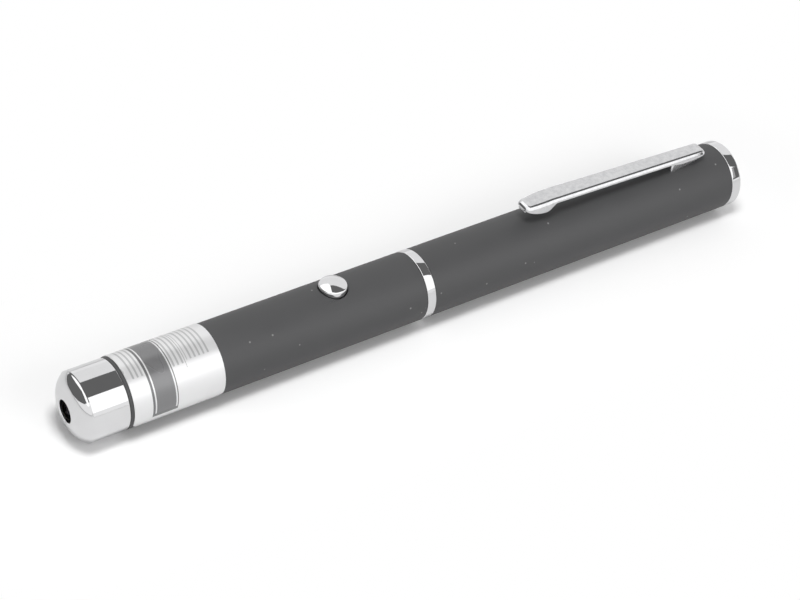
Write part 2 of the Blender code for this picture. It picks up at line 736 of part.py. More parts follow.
def make_component(name, index, width, height, material):
    """A moulded part that sits on the board."""
    size = (COMPONENT_LENGTHS[index], width, height)
    middle = BOARD_TOP_HEIGHT + SEAT_GAP + height / 2
    return block(name, size, component_station(index), (0, middle), material, COMPONENT_BEVEL)


def make_trim_pot(materials):
    """Square trimmer with a slotted round dial, which sets the diode's current."""
    pot = make_component("trim_pot", 1, TRIM_POT_LENGTH, TRIM_POT_BASE_HEIGHT, materials["grey_plastic"])
    base = BOARD_TOP_HEIGHT + SEAT_GAP
    top = base + TRIM_POT_HEIGHT
    radius = TRIM_POT_DIAL_DIAMETER / 2
    at = component_station(1)
    dial = upright(
        "trim_pot_dial",
        [
            (base + TRIM_POT_BASE_HEIGHT / 2, 0.0),
            (base + TRIM_POT_BASE_HEIGHT / 2, radius),
            (top, radius),
            (top, 0.0),
        ],
        None,
        at,
    )
    slot = block(
        "trim_pot_slot",
        (TRIM_POT_DIAL_DIAMETER + CUT_OVERRUN, TRIM_POT_SLOT_WIDTH, 2 * TRIM_POT_SLOT_DEPTH),
        at,
        (0, top),
        None,
        0.0,
    )
    cut(pot, dial, "UNION")
    cut(pot, slot)


def make_switch(materials):
    """Push switch on the board, with the well that its plunger travels in."""
    switch_height = SWITCH_TOP - SWITCH_BOTTOM
    switch = block(
        "switch_body",
        (SWITCH_WIDTH, SWITCH_WIDTH, switch_height),
        BUTTON_STATION,
        (0, SWITCH_BOTTOM + switch_height / 2),
        materials["black_plastic"],
        SWITCH_BEVEL,
    )
    well = PLUNGER_DIAMETER / 2 + RUNNING_FIT
    well_cutter = upright(
        "switch_well",
        [
            (SWITCH_WELL_BOTTOM, 0.0),
            (SWITCH_WELL_BOTTOM, well),
            (SWITCH_TOP + CUT_OVERRUN, well),
            (SWITCH_TOP + CUT_OVERRUN, 0.0),
        ],
        None,
        BUTTON_STATION,
    )
    cut(switch, well_cutter)


def make_button(materials):
    """Chrome button and the switch's plunger under it, which travel together."""
    press = make_pivot("button_press_axis", BUTTON_STATION)
    plunger = PLUNGER_DIAMETER / 2
    upright(
        "switch_plunger",
        [(PLUNGER_BOTTOM, 0.0), (PLUNGER_BOTTOM, plunger), (PLUNGER_TOP, plunger), (PLUNGER_TOP, 0.0)],
        materials["grey_plastic"],
        BUTTON_STATION,
        press,
    )
    flange = BUTTON_FLANGE_DIAMETER / 2
    side = BUTTON_DIAMETER / 2
    dome_base = BUTTON_WALL_TOP + BUTTON_EDGE_ROUND
    dome_radius = side - BUTTON_EDGE_ROUND
    dome = []
    for step in range(DOME_STEPS + 1):
        share = 1 - step / DOME_STEPS
        rise = (BUTTON_DOME_HEIGHT - BUTTON_EDGE_ROUND) * (1 - share**2)
        dome.append((dome_base + rise, dome_radius * share))
    upright(
        "push_button",
        [
            (BUTTON_FLANGE_BOTTOM, 0.0),
            (BUTTON_FLANGE_BOTTOM, flange),
            (BUTTON_FLANGE_TOP, flange),
            (BUTTON_FLANGE_TOP, side),
            (BUTTON_WALL_TOP, side),
        ]
        + dome,
        materials["chrome"],
        BUTTON_STATION,
        press,
    )


def make_coupling(materials):
    """Screwed coupling that is fixed in the front barrel, with its male thread towards the tail."""

    def coupling_outline(angle):
        thread = [
            (x, THREAD_ROOT + THREAD_DEPTH * thread_rise(x, angle))
            for x in thread_stations(THREAD_START, THREAD_END)
        ]
        return (
            [(COUPLING_START, CELL_BORE), (COUPLING_START, INSERT_RADIUS), (MID_RING_END, INSERT_RADIUS)]
            + [(MID_RING_END, THREAD_ROOT)]
            + thread
            + [(COUPLING_END, THREAD_ROOT), (COUPLING_END, CELL_BORE)]
        )

    ringed("thread_coupling", coupling_outline, materials["brass"], COUPLING_START)


def make_mid_ring(materials, turn):
    """Loose chrome band that is trapped between the two barrels."""
    bore = INSERT_RADIUS + RUNNING_FIT
    turned(
        "mid_ring",
        [
            (MID_RING_START, RING_RADIUS),
            (MID_RING_END, RING_RADIUS),
            (MID_RING_END, bore),
            (MID_RING_START, bore),
        ],
        materials["chrome"],
        MID_RING_START,
        turn,
    )


def make_rear_barrel(materials, turn):
    """Painted rear tube: female thread, cell bore, the tail cap's seat and the clip rivet's hole."""
    relief_end = COUPLING_END + THREAD_RELIEF
    groove = INSERT_RADIUS + RUNNING_FIT
    tail_bore = FRONT_BORE

    def barrel_outline(angle):
        thread = [
            (x, THREAD_ROOT + RUNNING_FIT + THREAD_DEPTH * thread_rise(x, angle))
            for x in thread_stations(REAR_BARREL_START, THREAD_END)
        ]
        return (
            [(REAR_BARREL_END, BARREL_RADIUS), (REAR_BARREL_START, BARREL_RADIUS)]
            + thread
            + [
                (THREAD_END, groove),
                (relief_end, groove),
                (relief_end, CELL_BORE),
                (TAIL_SPIGOT_START - SEAT_GAP, CELL_BORE),
                (TAIL_SPIGOT_START - SEAT_GAP, tail_bore),
                (REAR_BARREL_END, tail_bore),
            ]
        )

    barrel = ringed("rear_barrel", barrel_outline, materials["painted_barrel"], REAR_BARREL_START, turn,
                    BARREL_SEGMENTS)
    shank = RIVET_DIAMETER / 2 + PRESS_FIT
    head = RIVET_HEAD_DIAMETER / 2 + PRESS_FIT
    sink = CELL_BORE + RIVET_HEAD_THICKNESS
    hole_cutter = upright(
        "rivet_hole",
        [
            (CELL_BORE - CUT_OVERRUN, 0.0),
            (CELL_BORE - CUT_OVERRUN, head),
            (CELL_BORE, head),
            (sink, shank),
            (BARREL_RADIUS + CUT_OVERRUN, shank),
            (BARREL_RADIUS + CUT_OVERRUN, 0.0),
        ],
        None,
        RIVET_STATION,
        turn,
    )
    cut(barrel, hole_cutter)


def make_cells(materials, turn):
    """Two small cells in line, each a plain wrapped can with its raised positive end forward."""
    radius = CELL_DIAMETER / 2
    nub = CELL_NUB_DIAMETER / 2
    for name, start in (("front_cell", FRONT_CELL_START), ("rear_cell", REAR_CELL_START)):
        can_start = start + CELL_NUB_HEIGHT
        end = start + CELL_LENGTH
        turned(
            name,
            [
                (start, 0.0),
                (start, nub),
                (can_start, nub),
                (can_start, radius - CELL_EDGE_ROUND),
                (can_start + CELL_EDGE_ROUND, radius),
                (end - CELL_EDGE_ROUND, radius),
                (end, radius - CELL_EDGE_ROUND),
                (end, 0.0),
            ],
            materials["cell_wrap"],
            start,
            turn,
            SMALL_SEGMENTS,
        )


def make_contact_spring(materials):
    """Small cone spring on the board's end, which meets the front cell's raised end."""
    coil(
        "contact_spring",
        BOARD_END + SOLDER_GAP,
        FRONT_CELL_START - SOLDER_GAP,
        CONTACT_SPRING_FOOT_DIAMETER,
        CONTACT_SPRING_TIP_DIAMETER,
        CONTACT_SPRING_TURNS,
        CONTACT_WIRE,
        materials["spring_steel"],
    )


def make_tail(materials, turn):
    """Chrome tail cap pressed in the rear barrel, and the cone spring that it holds."""
    spigot = INSERT_RADIUS
    bore = spigot - TAIL_SPIGOT_WALL
    inner_face = PEN_LENGTH - TAIL_WALL
    edge = round_corner(
        (PEN_LENGTH - TAIL_RING_ROUND, RING_RADIUS - TAIL_RING_ROUND), TAIL_RING_ROUND, 0, 90
    )
    turned(
        "tail_cap",
        [(PEN_LENGTH, 0.0)]
        + edge
        + [
            (TAIL_RING_START, RING_RADIUS),
            (TAIL_RING_START, spigot),
            (TAIL_SPIGOT_START, spigot),
            (TAIL_SPIGOT_START, bore),
            (inner_face, bore),
            (inner_face, 0.0),
        ],
        materials["chrome"],
        TAIL_SPIGOT_START,
        turn,
    )
    coil(
        "tail_spring",
        CELL_STACK_END + SOLDER_GAP,
        inner_face - SOLDER_GAP,
        TAIL_SPRING_TIP_DIAMETER,
        TAIL_SPRING_FOOT_DIAMETER,
        TAIL_SPRING_TURNS,
        TAIL_WIRE,
        materials["spring_steel"],
        turn,
    )


def ease(share):
    """A smooth step from 0 to 1."""
    share = min(1.0, max(0.0, share))
    return share * share * (3 - 2 * share)


def clip_top(back):
    """Height of the clip's top at a distance back from its tip."""
    if back < CLIP_CREST_SETBACK:
        rise = CLIP_TIP_RISE + (CLIP_CREST_RISE - CLIP_TIP_RISE) * ease(back / CLIP_CREST_SETBACK)
    else:
        share = (back - CLIP_CREST_SETBACK) / (CLIP_LENGTH - CLIP_CREST_SETBACK)
        rise = CLIP_CREST_RISE + (CLIP_REAR_RISE - CLIP_CREST_RISE) * share
    return BARREL_RADIUS + rise


def clip_depth(back):
    """Depth of the clip's side flanges, with the lobes of its foot near the tip."""
    growth = ease(back / CLIP_LOBE_CREST)
    fall = ease((CLIP_LOBE_END - back) / (CLIP_LOBE_END - CLIP_LOBE_CREST))
    return CLIP_FLANGE_DEPTH + (CLIP_LOBE_DEPTH - CLIP_FLANGE_DEPTH) * growth * fall


def clip_half_width(back):
    """Half the clip's width, with its corners rounded in plan."""
    half = (CLIP_FRONT_WIDTH + (CLIP_REAR_WIDTH - CLIP_FRONT_WIDTH) * back / CLIP_LENGTH) / 2
    for radius, reach in ((CLIP_FRONT_CORNER, back), (CLIP_REAR_CORNER, CLIP_LENGTH - back)):
        if reach < radius:
            half -= radius - math.sqrt(radius**2 - (radius - reach) ** 2)
    return half


def clip_stations():
    """Distances back from the tip at which the clip's shape is laid out."""
    corner_shares = [1 - math.cos(math.pi / 2 * i / ROUND_STEPS) for i in range(ROUND_STEPS)]
    foot_length = CLIP_LOBE_END - CLIP_FRONT_CORNER
    arm_length = CLIP_LENGTH - CLIP_REAR_CORNER - CLIP_LOBE_END
    backs = [CLIP_FRONT_CORNER * share for share in corner_shares]
    backs += [CLIP_FRONT_CORNER + foot_length * i / CLIP_FOOT_STEPS for i in range(CLIP_FOOT_STEPS + 1)]
    backs += [CLIP_LOBE_END + arm_length * (i + 1) / CLIP_ARM_STEPS for i in range(CLIP_ARM_STEPS)]
    backs += [CLIP_LENGTH - CLIP_REAR_CORNER * share for share in reversed(corner_shares)]
    return backs


def channel_section(half, top, bottom, fold):
    """A section with its two upper corners folded round."""
    left = round_corner((-half + fold, top - fold), fold, 180, 90, FOLD_STEPS)
    right = round_corner((half - fold, top - fold), fold, 90, 0, FOLD_STEPS)
    return [(-half, bottom)] + left + right + [(half, bottom)]


def make_clip(materials, turn):
    """Pressed chrome clip, which flexes about a line across its rear end."""
    flex = make_pivot("clip_flex_axis", CLIP_HINGE_STATION, CLIP_HINGE_HEIGHT, turn)
    outer = []
    inner = []
    inner_fold = CLIP_FOLD_RADIUS / 2
    for back in clip_stations():
        top = clip_top(back)
        half = clip_half_width(back)
        outer.append((CLIP_TIP + back, channel_section(half, top, top - clip_depth(back), CLIP_FOLD_RADIUS)))
        inner_back = CLIP_SHEET + back * (CLIP_LENGTH - 2 * CLIP_SHEET) / CLIP_LENGTH
        inner_top = clip_top(inner_back) - CLIP_SHEET
        inner_bottom = inner_top - CLIP_LOBE_DEPTH - CUT_OVERRUN
        section = channel_section(half - CLIP_SHEET, inner_top, inner_bottom, inner_fold)
        inner.append((CLIP_TIP + inner_back, section))
    clip = lofted("pocket_clip", outer, materials["chrome"], CLIP_HINGE_STATION, CLIP_HINGE_HEIGHT, flex)
    hollow = lofted("clip_hollow", inner, None, CLIP_HINGE_STATION, CLIP_HINGE_HEIGHT, flex)
    cut(clip, hollow)
    cut(clip, make_return_lip(flex), "UNION")


def make_return_lip(flex):
    """The clip's front edge, turned back under its top."""
    top = clip_top(0.0) - CLIP_SHEET - CLIP_RETURN_LIP_GAP
    bottom = top - CLIP_SHEET
    half = clip_half_width(CLIP_FRONT_CORNER) - CLIP_SHEET - CLIP_FOLD_RADIUS
    section = [(-half, bottom), (-half, top), (half, top), (half, bottom)]
    front = CLIP_TIP + CLIP_SHEET / 2
    back = CLIP_TIP + CLIP_SHEET + CLIP_RETURN_LIP_LENGTH
    sections = [(front, section), (back, section)]
    return lofted("clip_return_lip", sections, None, CLIP_HINGE_STATION, CLIP_HINGE_HEIGHT, flex)


def make_saddle(materials, turn):
    """Saddle that stands on the barrel: shoulders under the clip's flanges and a tongue between them."""
    seat = SADDLE_SEAT
    half = SADDLE_WIDTH / 2
    tongue = clip_half_width(CLIP_LENGTH - CLIP_REAR_CORNER) - CLIP_SHEET - 2 * RUNNING_FIT
    shoulder = BARREL_RADIUS + SADDLE_SHOULDER_RISE
    tongue_top = clip_top(CLIP_LENGTH) - CLIP_SHEET - SADDLE_TONGUE_GAP
    reach = math.degrees(math.asin(half / seat))
    section = round_corner((0, 0), seat, 90 + reach, 90 - reach, 2 * ROUND_STEPS)
    section += [
        (half, shoulder),
        (tongue, shoulder),
        (tongue, tongue_top),
        (-tongue, tongue_top),
        (-tongue, shoulder),
        (-half, shoulder),
    ]
    saddle = extruded("clip_saddle", section, SADDLE_START, SADDLE_END, materials["chrome"], turn)
    socket = RIVET_DIAMETER / 2 + PRESS_FIT
    socket_top = RIVET_TOP + SEAT_GAP
    socket_cutter = upright(
        "rivet_socket",
        [(seat - CUT_OVERRUN, 0.0), (seat - CUT_OVERRUN, socket), (socket_top, socket), (socket_top, 0.0)],
        None,
        RIVET_STATION,
        turn,
    )
    cut(saddle, socket_cutter)


def make_rivet(materials, turn):
    """Brass rivet from inside the barrel up into the saddle, its head flush with the cells' bore."""
    shank = RIVET_DIAMETER / 2
    upright(
        "clip_rivet",
        [
            (CELL_BORE, 0.0),
            (CELL_BORE, RIVET_HEAD_DIAMETER / 2),
            (CELL_BORE + RIVET_HEAD_THICKNESS, shank),
            (RIVET_TOP, shank),
            (RIVET_TOP, 0.0),
        ],
        materials["brass"],
        RIVET_STATION,
        turn,
    )


def build_pen():
    """Every piece of the pointer, from the nose to the tail."""
    clear_scene()
    materials = make_materials()
    make_nose_cap(materials)
    make_module_housing(materials)
    make_lens_holder(materials)
    make_lens(materials)
    make_focus_spring(materials)
    make_diode(materials)
    make_front_barrel(materials)
    make_label(materials)
    make_board_carrier(materials)
    make_board(materials)
    make_trim_pot(materials)
    make_switch(materials)
    make_button(materials)
    make_contact_spring(materials)
    make_coupling(materials)
    turn = make_pivot("barrel_turn_axis", MID_RING_START)
    make_mid_ring(materials, turn)
    make_rear_barrel(materials, turn)
    make_cells(materials, turn)
    make_tail(materials, turn)
    make_clip(materials, turn)
    make_saddle(materials, turn)
    make_rivet(materials, turn)


build_pen()
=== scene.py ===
# %% [markdown]
# A pen-shaped laser pointer, dressed for its portrait.
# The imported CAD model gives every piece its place, in metres, with the pen lying along X on the floor.
# Here each visible piece is made again as a fine mesh, and every hidden one gets its finish.
# The first cell loads the frame and keeps its box, so that the dressed pen can be compared with it at the end.

# %% Load the frame
import math

import bmesh
import bpy
from mathutils import Matrix, Vector


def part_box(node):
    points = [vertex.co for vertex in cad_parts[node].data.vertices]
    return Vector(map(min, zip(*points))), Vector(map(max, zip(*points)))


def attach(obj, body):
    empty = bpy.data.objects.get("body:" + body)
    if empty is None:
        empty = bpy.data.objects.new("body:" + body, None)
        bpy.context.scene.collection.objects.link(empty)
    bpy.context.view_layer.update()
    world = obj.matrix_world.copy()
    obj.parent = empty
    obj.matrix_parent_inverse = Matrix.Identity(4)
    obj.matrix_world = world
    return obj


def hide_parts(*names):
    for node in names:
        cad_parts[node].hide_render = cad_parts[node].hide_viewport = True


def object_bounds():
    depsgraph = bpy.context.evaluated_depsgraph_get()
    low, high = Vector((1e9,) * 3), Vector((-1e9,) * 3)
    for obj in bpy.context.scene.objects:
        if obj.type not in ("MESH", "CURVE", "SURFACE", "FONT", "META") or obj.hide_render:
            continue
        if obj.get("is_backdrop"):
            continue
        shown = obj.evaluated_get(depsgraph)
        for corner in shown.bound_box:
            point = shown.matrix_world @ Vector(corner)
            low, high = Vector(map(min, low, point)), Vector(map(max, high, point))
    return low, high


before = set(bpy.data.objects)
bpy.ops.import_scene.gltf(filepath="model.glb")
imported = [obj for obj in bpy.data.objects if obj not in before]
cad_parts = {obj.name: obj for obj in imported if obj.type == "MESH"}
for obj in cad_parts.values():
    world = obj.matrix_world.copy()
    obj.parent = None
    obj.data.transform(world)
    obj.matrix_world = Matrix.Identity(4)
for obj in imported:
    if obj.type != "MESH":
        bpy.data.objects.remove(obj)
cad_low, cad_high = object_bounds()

MM = 0.001
print("CAD box in mm:", [round(side / MM, 2) for side in cad_high - cad_low])

# %% [markdown]
# The photograph is taken from above the nose and from one side, about half a metre away.
# A camera could be aimed with a Track To constraint, but the photograph is also rolled a few degrees.
# So the camera's three axes are written down as they were measured from the barrel's edges and rings.

# %% Set the camera
CAMERA_PLACE = Vector((-220.163, -271.046, 297.380)) * MM
CAMERA_RIGHT = (0.82532, -0.55692, 0.09320)
CAMERA_UP = (0.30414, 0.57750, 0.75762)
CAMERA_BACK = (-0.47576, -0.59694, 0.64601)
CAMERA_LENS = 104.249
CAMERA_SENSOR = 36.0
NEAREST = 10 * MM
FARTHEST = 20000 * MM

camera = bpy.data.objects.new("Camera", bpy.data.cameras.new("Camera"))
camera.data.lens = CAMERA_LENS
camera.data.sensor_width = CAMERA_SENSOR
camera.data.clip_start = NEAREST
camera.data.clip_end = FARTHEST
turn = Matrix((CAMERA_RIGHT, CAMERA_UP, CAMERA_BACK)).transposed().to_4x4()
camera.matrix_world = Matrix.Translation(CAMERA_PLACE) @ turn
bpy.context.scene.collection.objects.link(camera)
bpy.context.scene.camera = camera
print("camera distance in mm:", round(CAMERA_PLACE.length / MM))

# %% [markdown]
# Colours are written the way a paint card or a picture editor gives them, as sRGB hex values.
# Blender's shaders work in linear light, so one function turns a hex value into linear numbers.

# %% Turn hex colours to linear ones
def srgb(code):
    """Turns RRGGBB into the linear colour that a shader socket takes."""
    shares = [int(code[i:i + 2], 16) / 255 for i in (0, 2, 4)]
    linear = [share / 12.92 if share <= 0.04045 else ((share + 0.055) / 1.055) ** 2.4 for share in shares]
    return (*linear, 1.0)


print("middle grey is", round(srgb("808080")[0], 3), "in linear light")

# %% [markdown]
# A shader is a small tree of nodes.
# Each could be set up by hand in three or four lines, which soon hides what the material is about.
# One function adds any node, sets its properties and joins its inputs.
# Two more start a material and, at its end, link its colour, gloss and bump to its surface.

# %% Add nodes and start materials
def add(tree, kind, inputs=None, **settings):
    """Adds one node. An input is a plain value, or an output of another node to link."""
    made = tree.nodes.new(kind)
    for name, value in settings.items():
        setattr(made, name, value)
    for name, value in (inputs or {}).items():
        if isinstance(value, bpy.types.NodeSocket):
            tree.links.new(value, made.inputs[name])
        else:
            made.inputs[name].default_value = value
    return made


def start_material(name):
    """A new material with its surface shader, and the piece's own coordinates in metres."""
    made = bpy.data.materials.new(name)
    made.use_nodes = True
    tree = made.node_tree
    tree.nodes.clear()
    surface = add(tree, "ShaderNodeBsdfPrincipled")
    add(tree, "ShaderNodeOutputMaterial", {"Surface": surface.outputs["BSDF"]})
    place = add(tree, "ShaderNodeTexCoord").outputs["Object"]
    return made, tree, surface, place


def link_surface(tree, surface, colour, gloss, bump):
    """Links a material's colour, roughness and bump to its surface shader."""
    for name, output in (("Base Color", colour), ("Roughness", gloss), ("Normal", bump)):
        tree.links.new(output, surface.inputs[name])


print("materials at the start:", len(bpy.data.materials))

# %% [markdown]
# The studio is a white one: a white world, a white floor, a soft lamp overhead and one low in front.
# Only rays from the camera and from shiny or clear surfaces see the world at full white.
# Diffuse light comes at a plain level, so that each colour renders about as it is written.

# %% Light the studio
SKY_LIGHT = 0.41
WHITE = 1.0
TOP_LAMP = (Vector((-63.0, -82.0, 442.0)) * MM, 135 * MM, 1.19)
FRONT_LAMP = (Vector((320.0, -980.0, 380.0)) * MM, 900 * MM, 5.5)

world = bpy.data.worlds.new("White studio")
bpy.context.scene.world = world
world.use_nodes = True
world.node_tree.nodes.clear()
rays = add(world.node_tree, "ShaderNodeLightPath")
seen = add(world.node_tree, "ShaderNodeMath", {0: rays.outputs["Is Camera Ray"], 1: rays.outputs["Is Glossy Ray"]},
           operation="MAXIMUM")
seen = add(world.node_tree, "ShaderNodeMath", {0: seen.outputs[0], 1: rays.outputs["Is Transmission Ray"]},
           operation="MAXIMUM")
light = add(world.node_tree, "ShaderNodeBackground", {"Color": srgb("FFFFFF"), "Strength": SKY_LIGHT})
backdrop = add(world.node_tree, "ShaderNodeBackground", {"Color": srgb("FFFFFF"), "Strength": WHITE})
sky = add(world.node_tree, "ShaderNodeMixShader",
          {0: seen.outputs[0], 1: light.outputs[0], 2: backdrop.outputs[0]})
add(world.node_tree, "ShaderNodeOutputWorld", {"Surface": sky.outputs[0]})

for name, (place, size, watts) in (("Top lamp", TOP_LAMP), ("Front lamp", FRONT_LAMP)):
    lamp = bpy.data.objects.new(name, bpy.data.lights.new(name, "AREA"))
    lamp.data.size = size
    lamp.data.energy = watts
    lamp.location = place
    lamp.rotation_euler = (-place).to_track_quat("-Z", "Y").to_euler()
    lamp.visible_glossy = False
    bpy.context.scene.collection.objects.link(lamp)
    print(name, "stands", round(place.length / MM), "mm away")
bpy.context.scene.view_settings.view_transform = "Standard"

# %% [markdown]
# The floor is a plain white sheet that keeps the pen's soft shadow.
# The camera sees it at full white, and the chrome sees it a little darker, as a sheet looks at a low angle.
# Away from the pen it turns into a plain white backdrop, for the camera only, so that no corner goes grey.
# A grid with one face is enough, because nothing on it is curved.

# %% Lay the floor
FLOOR_SIZE = 6000 * MM
FLOOR_DROP = 0.02 * MM
SHADOW_REACH = 13 * MM


def new_object(name, bm, material):
    """Makes an object of a bmesh, at the origin, with its place in its mesh."""
    mesh = bpy.data.meshes.new(name)
    bm.to_mesh(mesh)
    bm.free()
    mesh.materials.append(material)
    made = bpy.data.objects.new(name, mesh)
    bpy.context.scene.collection.objects.link(made)
    return made


paper, tree, surface, place = start_material("white_paper_sheet")
rays = add(tree, "ShaderNodeLightPath")
seen = add(tree, "ShaderNodeMix", {0: rays.outputs["Is Camera Ray"], 6: srgb("E9E9E9"), 7: srgb("FBFBFB")},
           data_type="RGBA")
tree.links.new(seen.outputs[2], surface.inputs["Base Color"])
surface.inputs["Roughness"].default_value = 1.0
surface.inputs["Specular IOR Level"].default_value = 0.0
apart = add(tree, "ShaderNodeSeparateXYZ", {0: place})
along = add(tree, "ShaderNodeMath", {0: apart.outputs["X"]}, operation="ABSOLUTE")
beyond = add(tree, "ShaderNodeMath", {0: along.outputs[0], 1: cad_high.x}, operation="SUBTRACT")
beyond = add(tree, "ShaderNodeMath", {0: beyond.outputs[0], 1: 0.0}, operation="MAXIMUM")
away = add(tree, "ShaderNodeCombineXYZ", {0: beyond.outputs[0], 1: apart.outputs["Y"]})
away = add(tree, "ShaderNodeVectorMath", {0: away.outputs[0]}, operation="LENGTH")
fade = add(tree, "ShaderNodeMapRange", {0: away.outputs["Value"], 1: SHADOW_REACH, 2: SHADOW_REACH * 3},
           interpolation_type="SMOOTHSTEP")
fade = add(tree, "ShaderNodeMath", {0: fade.outputs[0], 1: rays.outputs["Is Camera Ray"]}, operation="MULTIPLY")
backdrop = add(tree, "ShaderNodeEmission", {"Color": srgb("FFFFFF"), "Strength": WHITE})
sheet = add(tree, "ShaderNodeMixShader", {0: fade.outputs[0], 1: surface.outputs[0], 2: backdrop.outputs[0]})
tree.links.new(sheet.outputs[0], tree.nodes["Material Output"].inputs["Surface"])
bm = bmesh.new()
bmesh.ops.create_grid(bm, x_segments=1, y_segments=1, size=FLOOR_SIZE / 2)
bmesh.ops.translate(bm, vec=(0, 0, -FLOOR_DROP), verts=bm.verts)
new_object("Floor", bm, paper)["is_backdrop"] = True
print("floor", FLOOR_SIZE, "m square")

# %% [markdown]
# Chrome shows nothing but its surroundings, so a photographer builds them: bright boxes and dark cards.
# The bands on the cap and rings tell where they stood: a dark card overhead and a light box in front.
# Here each is a flat card that only shiny surfaces see, so that it changes no shadow and no paint.
# Two small ones stand close to the tail, where its ring shows a grey and dark patch and the clip shows none.

# %% Stand the cards
def card(name, corners, strength):
    """A flat card through its corners in mm, which glows at one level and is seen only in reflections."""
    made = bpy.data.materials.new(name)
    made.use_nodes = True
    made.node_tree.nodes.clear()
    glow = add(made.node_tree, "ShaderNodeEmission", {"Color": srgb("FFFFFF"), "Strength": strength})
    add(made.node_tree, "ShaderNodeOutputMaterial", {"Surface": glow.outputs[0]})
    bm = bmesh.new()
    bm.faces.new([bm.verts.new(Vector(corner) * MM) for corner in corners])
    sheet = new_object(name, bm, made)
    for ray in ("camera", "diffuse", "transmission", "volume_scatter", "shadow"):
        setattr(sheet, "visible_" + ray, False)
    sheet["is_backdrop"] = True


LIGHT_BOX = 1.45
DARK_CARD = 0.15
GREY_CARD = 0.45
CEILING = 0.94
card("Front_light_box", [(-350, -400, 95), (1300, -400, 95), (1300, -400, 300), (523, -400, 447),
                         (429, -400, 669), (249, -400, 744), (-350, -400, 744)], LIGHT_BOX)
card("Overhead_dark_card", [(130, 407, 760), (31, 179, 760), (-38, -5, 760), (-9, -117, 760), (-9, -900, 760),
                            (1600, -900, 760), (1600, -200, 760), (643, 64, 760), (430, 196, 760),
                            (244, 351, 760)], DARK_CARD)
card("Overhead_light_box", [(-640, -700, 765), (-9, -700, 765), (-9, -117, 765), (-38, -5, 765), (31, 179, 765),
                            (130, 407, 765), (164, 622, 765), (9, 835, 765), (-257, 1029, 765),
                            (-640, 1300, 765)], LIGHT_BOX)
card("Ceiling", [(-700, -900, 775), (2600, -900, 775), (2600, 2600, 775), (-700, 2600, 775)], CEILING)
card("Tail_grey_card", [(94.2, -35, 16.2), (97.6, -35, 16.2), (99.3, -35, 23.4), (102.0, -35, 30.7),
                        (105.4, -35, 37.9), (108.9, -35, 44.6), (105.3, -35, 44.6), (101.9, -35, 37.9),
                        (98.8, -35, 30.7), (96.1, -35, 23.4)], GREY_CARD)
card("Tail_dark_card", [(93.6, -35, 13.6), (109, -35, 13.6), (112, -35, 23.4), (116, -35, 30.7),
                        (120, -35, 37.9), (124, -35, 44.6), (108.9, -35, 44.6), (105.4, -35, 37.9),
                        (102.0, -35, 30.7), (99.3, -35, 23.4), (97.6, -35, 16.2), (94.2, -35, 16.2)], DARK_CARD)
card("Left_dark_wall", [(-600, 2045, 60), (-600, 823, 30), (-600, 468, 0), (-600, 273, 0), (-600, 80, 60),
                        (-600, -160, 185), (-600, -260, 290), (-600, -110, 400), (-600, 59, 495),
                        (-600, 338, 490), (-600, 978, 465), (-600, 2045, 465)], DARK_CARD)
card("Left_light_box", [(-650, -400, 250), (-650, 2200, 430), (-650, 2200, 1000), (-650, -400, 1000)], LIGHT_BOX)

# %% [markdown]
# The bright parts are drawn brass or steel with a decorative chrome plate over nickel, then polished.
# Chrome is a neutral grey mirror that gives back about seven tenths of the light.
# What keeps it from looking computed is a trace of handling: faint smears, a few millimetres across,
# that change its gloss, and the last waviness of the polishing wheel.
# The cap, the rings and the button are polished, the clip is a shade darker and rougher with finer smears, and the
# saddle is satin.

# %% Plate the chrome
WHEEL_WAVE = 3 * MM
WHEEL_DEPTH = 0.02 * MM


def plate(name, tones, smear, rough, wave):
    """Chrome plate: two tones and two roughnesses that its smears mix, and how much the wheel left it wavy."""
    made, tree, surface, place = start_material(name)
    smears = add(tree, "ShaderNodeTexNoise", {"Vector": place, "Scale": 1 / smear, "Detail": 3.0, "Roughness": 0.6})
    spread = add(tree, "ShaderNodeMapRange", {0: smears.outputs["Fac"], 1: 0.35, 2: 0.7})
    tone = add(tree, "ShaderNodeMix", {0: spread.outputs[0], 6: srgb(tones[0]), 7: srgb(tones[1])},
               data_type="RGBA")
    gloss = add(tree, "ShaderNodeMapRange", {0: spread.outputs[0], 3: rough[0], 4: rough[1]})
    waves = add(tree, "ShaderNodeTexNoise", {"Vector": place, "Scale": 1 / WHEEL_WAVE, "Detail": 1.0})
    bump = add(tree, "ShaderNodeBump", {"Strength": wave, "Distance": WHEEL_DEPTH, "Height": waves.outputs["Fac"]})
    link_surface(tree, surface, tone.outputs[2], gloss.outputs[0], bump.outputs[0])
    surface.inputs["Metallic"].default_value = 1.0
    return made


chrome = plate("polished_chrome_plate", ("E1E1E2", "DDDDDE"), 5 * MM, (0.02, 0.06), 0.2)
# The clip's plate is a shade darker and rougher than the rest, with smears about a millimetre across.
darker_rougher_chrome = plate("darker_rougher_chrome_plate", ("DADADB", "CECED0"), 1.2 * MM, (0.06, 0.14), 0.12)
satin_chrome = plate("satin_chrome_plate", ("E1E1E2", "D8D8DA"), 4 * MM, (0.2, 0.3), 0.1)
print("chrome gives back", round(srgb("DDDDDE")[0], 2), "of the light")

# %% [markdown]
# The tubes are brass with a sprayed matt black lacquer.
# What little light it gives back is scattered, so it shows one even dark grey round the whole tube.
# Close up it has the fine orange peel of spraying, slight clouds in its tone, and specks of dust.
# Real dust is finer than a pixel here, so its specks are drawn a little larger.

# %% Spray the lacquer
PEEL = 0.25 * MM
PEEL_DEPTH = 0.02 * MM
CLOUD = 9 * MM
SPECK_SPACING = 3.6 * MM
SPECK_SIZE = 0.12 * MM

